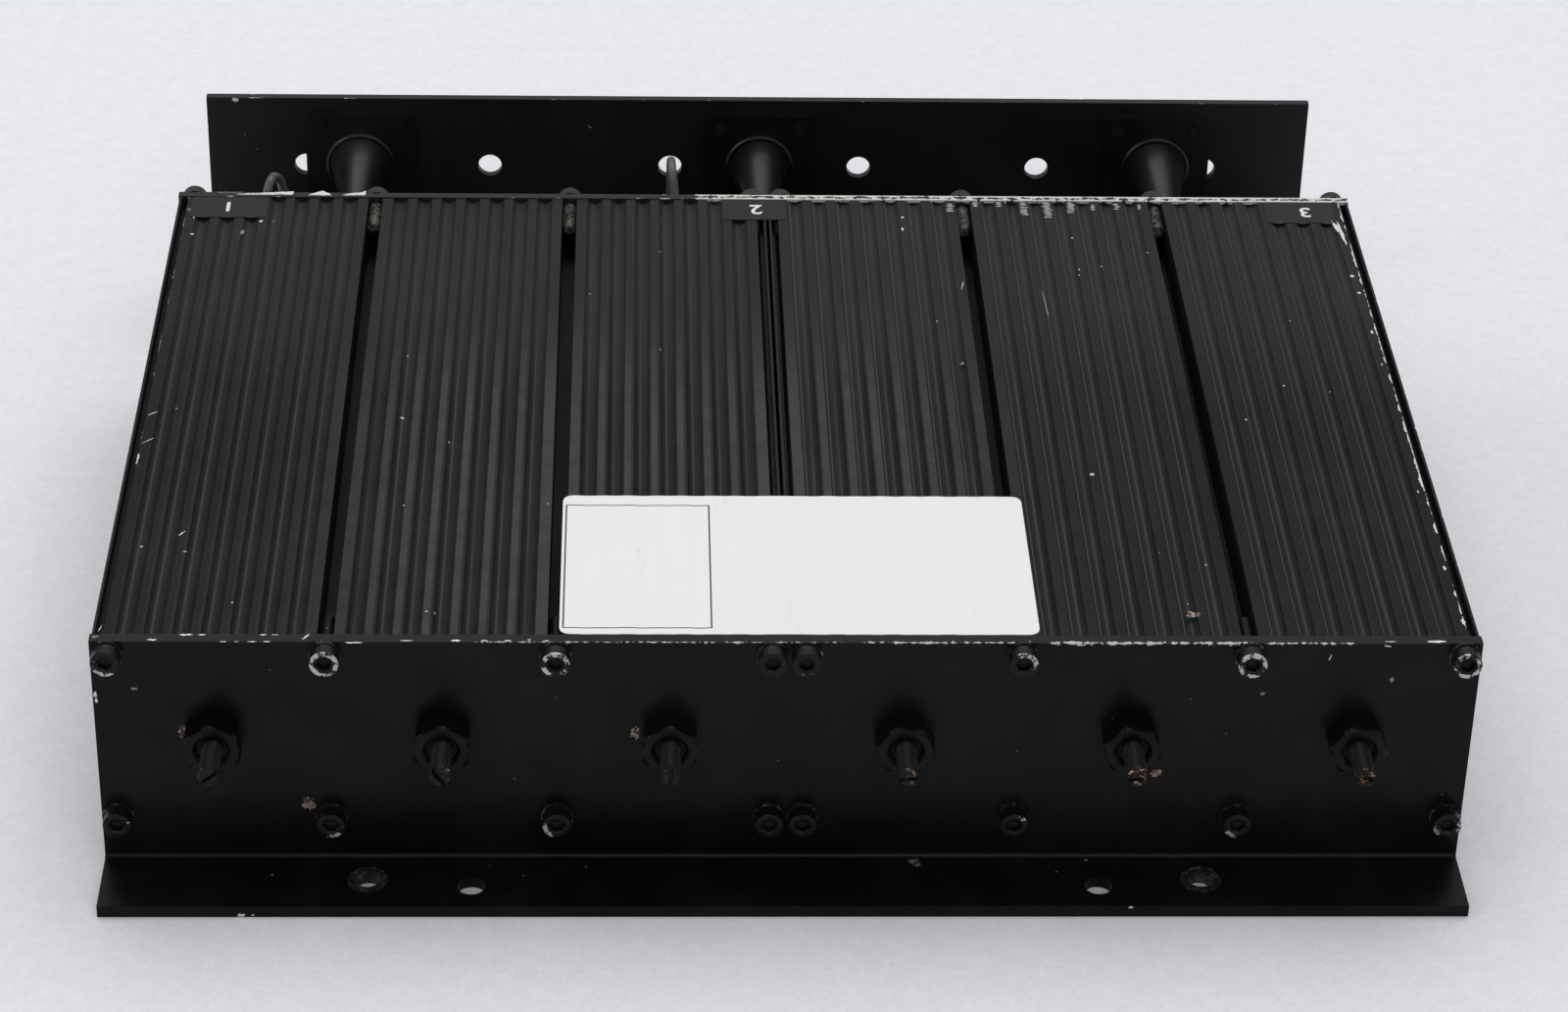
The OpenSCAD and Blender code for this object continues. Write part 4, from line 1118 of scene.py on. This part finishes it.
flakes = {
    "seed": 11, "lift": 0.02, "sides": 17, "scratchSteps": 8, "patchStep": 0.4, "patchJitter": 0.12,
    "ladderStep": 1.9, "ladderWidth": 0.42, "ladderLean": 0.17,
    "bare": (0.66, 0.65, 0.62), "pink": (0.32, 0.23, 0.21), "dim": (0.2, 0.195, 0.19),
    "front": ((137, 703, 1.0, 2.2, "dim"), (187, 746, 2.6, 0.7, "pink"), (315, 820, 2.9, 0.8, "pink"),
              (648, 748, 2.6, 0.7, "pink"), (97, 709, 1.0, 0.5), (98, 715, 0.9, 0.5),
              (1420, 694, 1.1, 0.8, "dim"), (1179, 789, 2.2, 1.1, "pink"), (1174, 776, 0.5, 1.0, "dim"),
              (1288, 708, 1.0, 1.0, "dim"), (1251, 749, 0.3, 1.0, "dim"), (1369, 773, 2.2, 0.8, "pink")),
    "flange": ((278, 893, 0.35, 1.0), (933, 880, 2.5, 0.8, "pink"), (425, 868, 0.9, 1.5, "dim"),
               (1078, 890, 0.5, 1.3, "dim"), (1108, 878, 0.9, 1.0, "dim"), (598, 885, 0.5, 0.6, "dim")),
    "lip": ((246, 934, 1.1, 3.0), (258, 934, 0.5, 2.0), (1154, 926, 0.7, 2.0)),
    "top": ((193, 214, 1.0, 0.5, "dim"), (198, 222, 0.6, 0.6), (266, 226, 1.0, 1.0),
            (279, 226, 0.5, 1.0, "dim"), (196, 239, 0.8, 1.0), (247, 237, 1.6, 0.4, "dim"),
            (1380, 282, 1.1, 0.8), (1387, 299, 0.9, 0.7), (1400, 339, 1.0, 0.5),
            (1217, 627, 2.4, 1.5, "pink"), (981, 371, 1.2, 1.0, "pink"), (1183, 564, 0.4, 1.0, "dim"),
            (435, 624, 0.5, 1.6), (412, 516, 0.35, 1.0), (559, 514, 0.35, 1.0),
            (602, 300, 0.6, 1.0, "dim"), (921, 234, 0.9, 0.5), (921, 222, 0.8, 0.6),
            (1094, 243, 0.45, 1.0), (1101, 275, 0.45, 1.0), (1101, 281, 0.35, 1.0),
            (1124, 272, 0.4, 1.5), (1171, 258, 0.35, 1.0), (956, 328, 0.35, 1.5),
            (180, 417, 0.35, 1.0), (237, 615, 0.4, 1.0), (1474, 580, 1.0, 0.4),
            (1493, 635, 1.2, 0.4), (1447, 502, 0.6, 0.4), (1410, 372, 0.6, 0.4)),
    "plateTop": ((97, 650, 1.1, 1.6, "dim"), (1051, 655, 0.5, 1.0, "dim")),
    "panel": ((240, 102, 1.4, 1.3), (268, 99, 1.1, 1.6, "dim"), (250, 137, 0.4, 1.0, "dim"),
              (262, 152, 0.4, 1.0, "dim")),
    "scratches": (
        ("top", ((151, 424, 161, 420, 0.35), (144, 453, 157, 447, 0.3), (139, 474, 142, 462, 0.4),
                 (182, 547, 189, 542, 0.4), (186, 563, 191, 563, 0.3), (1063, 296, 1070, 324, 0.11),
                 (983, 287, 981, 296, 0.2), (100, 645, 104, 638, 0.25))),
        ("plateTop", ((183, 648, 197, 648, 0.7), (202, 648, 210, 648, 0.4), (265, 648, 272, 648, 0.4),
                      (277, 648, 284, 648, 0.3), (224, 655, 232, 655, 0.3), (239, 655, 244, 655, 0.25),
                      (252, 655, 262, 655, 0.3), (268, 655, 276, 655, 0.4), (308, 653, 316, 647, 0.4),
                      (150, 653, 160, 653, 0.7), (352, 656, 370, 656, 0.5), (408, 654, 422, 654, 0.4),
                      (460, 654, 470, 654, 0.8), (490, 654, 498, 654, 0.5), (514, 654, 522, 654, 0.4),
                      (538, 653, 542, 653, 0.4), (554, 654, 560, 654, 0.5), (1413, 655, 1425, 655, 0.3),
                      (1456, 655, 1476, 655, 0.8))),
        ("flange", ((984, 873, 1004, 872, 0.2), (990, 876, 1002, 875, 0.16))),
        ("panel", ((600, 128, 604, 131, 0.2),)),
        ("front", ((1356, 674, 1359, 668, 0.35), (1412, 659, 1420, 660, 0.3))),
        ("top", ((1359, 224, 1366, 237, 1.2), (1364, 226, 1374, 250, 0.9), (1353, 222, 1357, 222, 0.5))),
    ),
    "patches": (
        ((241, 198), (262, 197), (285, 196), (300, 195.4), (299, 198.6), (280, 198.8), (250, 198.8)),
        ((314, 199.2), (321, 197), (329, 194.8), (336, 197.5), (338, 199.4)),
        ((349, 199.2), (357, 197.2), (368, 196.6), (373.5, 195), (373, 199.2)),
    ),
    # x, from y, to y and width of scraped land ends, in pixels of the photograph
    "ladders": ((968.5, 208.5, 216.5, 7.5), (994.5, 205, 211, 7), (1018.5, 207, 212, 7),
                (1043, 203.5, 219.5, 9), (1067, 203.5, 222.5, 10), (1091, 203.5, 218.5, 8.5),
                (1115, 210, 215, 6), (1139, 209, 215, 6.5), (1162, 210, 213.5, 4.5)),
}


def outward(axis, reach):
    # flakes lie on faces that look forward or up
    return Vector((0, -reach / 1000, 0)) if axis == 1 else Vector((0, 0, reach / 1000))


def addFan(shape, hub, outline):
    verts, faces = shape
    first = len(verts)
    count = len(outline)
    verts += [hub, *outline]
    faces += [(first, first + 1 + k, first + 1 + (k + 1) % count) for k in range(count)]


def addPatch(shape, corners, axis, chance):
    # filled outline whose sides are broken into ragged steps
    lift = outward(axis, flakes["lift"])
    outline = []
    for start, end in zip(corners, corners[1:] + corners[:1]):
        steps = max(2, round((end - start).length / flakes["patchStep"] * 1000))
        for k in range(steps):
            jitter = Vector((chance.uniform(-1, 1), chance.uniform(-1, 1), 0)) * flakes["patchJitter"] / 1000
            outline.append(start + (end - start) * k / steps + jitter + lift)
    addFan(shape, sum(corners, Vector()) / len(corners) + lift, outline)


def addFlake(shape, centre, axis, size, stretch, chance):
    wide = Vector((size / 2000 * math.sqrt(stretch), 0, 0))
    high = Vector((0, 0, 1) if axis == 1 else (0, 1, 0)) * size / 2000 / math.sqrt(stretch)
    lift = outward(axis, flakes["lift"])
    outline = []
    for k in range(flakes["sides"]):
        angle = math.tau * k / flakes["sides"]
        ragged = chance.uniform(0.55, 1.2)
        outline.append(centre + (wide * math.cos(angle) + high * math.sin(angle)) * ragged + lift)
    addFan(shape, centre + lift * 1.8, outline)


def addScratch(shape, start, end, axis, width, chance):
    # ragged strip that tapers to both ends
    verts, faces = shape
    first = len(verts)
    steps = flakes["scratchSteps"]
    along = (end - start) / steps
    side = along.cross(outward(axis, 1)).normalized() * width / 2000
    for k in range(steps + 1):
        swell = math.sin(math.pi * (k + 0.4) / (steps + 0.8))
        middle = start + along * k + outward(axis, flakes["lift"])
        verts.append(middle + side * swell * chance.uniform(0.3, 1.3))
        verts.append(middle - side * swell * chance.uniform(0.3, 1.3))
    faces += [(a, a + 1, a + 3, a + 2) for a in range(first, first + 2 * steps, 2)]


def makeFlakes():
    chance = random.Random(flakes["seed"])
    levels = {"front": (1, place(0, 0, 0).y), "flange": (2, unit["frontThick"] / 1000),
              "top": (2, unit["blockTop"] / 1000), "plateTop": (2, unit["plateHeight"] / 1000),
              "panel": (1, place(0, unit["panelY"], 0).y), "lip": (1, place(0, -unit["flangeReach"], 0).y)}
    shapes = {"bare": ([], []), "pink": ([], []), "dim": ([], [])}

    def scratch(face, fromX, fromY, toX, toY, width):
        ends = (seenPoint(fromX, fromY, *levels[face]), seenPoint(toX, toY, *levels[face]))
        addScratch(shapes["bare"], *ends, levels[face][0], width, chance)

    for face, strokes in flakes["scratches"]:
        for stroke in strokes:
            scratch(face, *stroke)
    for corners in flakes["patches"]:
        addPatch(shapes["bare"], [seenPoint(*corner, *levels["plateTop"]) for corner in corners], 2, chance)
    for middle, fromY, toY, width in flakes["ladders"]:
        py = fromY
        while py < toY:
            px = middle + (py - fromY) * flakes["ladderLean"]
            left = px - width * chance.uniform(0.3, 0.6)
            right = px + width * chance.uniform(0.3, 0.6)
            scratch("top", left, py, right, py, flakes["ladderWidth"])
            py += flakes["ladderStep"] * chance.uniform(0.8, 1.25)
    for face, (axis, level) in levels.items():
        for px, py, size, stretch, *shade in flakes[face]:
            addFlake(shapes[(*shade, "bare")[0]], seenPoint(px, py, axis, level), axis, size, stretch, chance)
    for shade, shape in shapes.items():
        amount, base = (0.52, 0.1) if shade == "pink" else (0.62, 0.45)
        finish = wornScrew("flake" + shade.capitalize(), amount, tuple(c * base for c in flakes[shade]),
                           flakes[shade], 1400.0, 0.5)
        piece = finishMesh("flakes" + shade.capitalize(), *shape, finish, 80)
        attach(piece, "root")


makeFlakes()
print("flakes laid")

# floor, lamps and world

studio = {
    "floor": (0.715, 0.72, 0.738), "speck": (0.775, 0.78, 0.795), "floorFrom": (-3, -2), "floorTo": (3, 5),
    "world": (0.9, 0.92, 0.96), "worldStrength": 0.5, "target": (0, 0, 0),
    "lamps": (
        ("skyLamp", (0.1, 0.7, 1.6), 1.8, 1.2, 18.0),
        ("sideLamp", (-1.3, -0.2, 0.9), 1.0, 1.0, 4.0),
        ("frontLamp", (0.3, -1.6, 1.3), 1.4, 0.8, 7.0),
    ),
}


def makeFloor():
    left, front = studio["floorFrom"]
    right, back = studio["floorTo"]
    mesh = bpy.data.meshes.new("floor")
    corners = [(left, front, 0), (right, front, 0), (right, back, 0), (left, back, 0)]
    mesh.from_pydata(corners, [], [(0, 1, 2, 3)])
    floor = addObject("floor", mesh)
    material, tree, shader, position = startMaterial("paleCloth", studio["floor"], 0.75)
    grain = position.noise(900.0, 3.0, 0.7)
    tone = (grain * 0.6 + position.noise(240.0, 3.0, 0.6) * 0.4).step(0.38, 0.66)
    setShader(tree, shader, colour=tone.mix(studio["floor"], studio["speck"]))
    addBump(tree, shader, grain, 0.3, 0.0003)
    mesh.materials.append(material)


def makeLight():
    world = bpy.data.worlds.new("studio")
    bpy.context.scene.world = world
    world.use_nodes = True
    back = world.node_tree.nodes["Background"]
    back.inputs["Color"].default_value = (*studio["world"], 1)
    back.inputs["Strength"].default_value = studio["worldStrength"]
    for name, where, width, depth, power in studio["lamps"]:
        data = bpy.data.lights.new(name, "AREA")
        data.shape = "RECTANGLE"
        data.size = width
        data.size_y = depth
        data.energy = power
        lamp = addObject(name, data)
        lamp.location = where
        lamp.rotation_euler = (Vector(studio["target"]) - Vector(where)).to_track_quat("-Z", "Y").to_euler()
    bpy.context.scene.view_settings.view_transform = "Standard"


makeFloor()
makeLight()
print("studio lit")
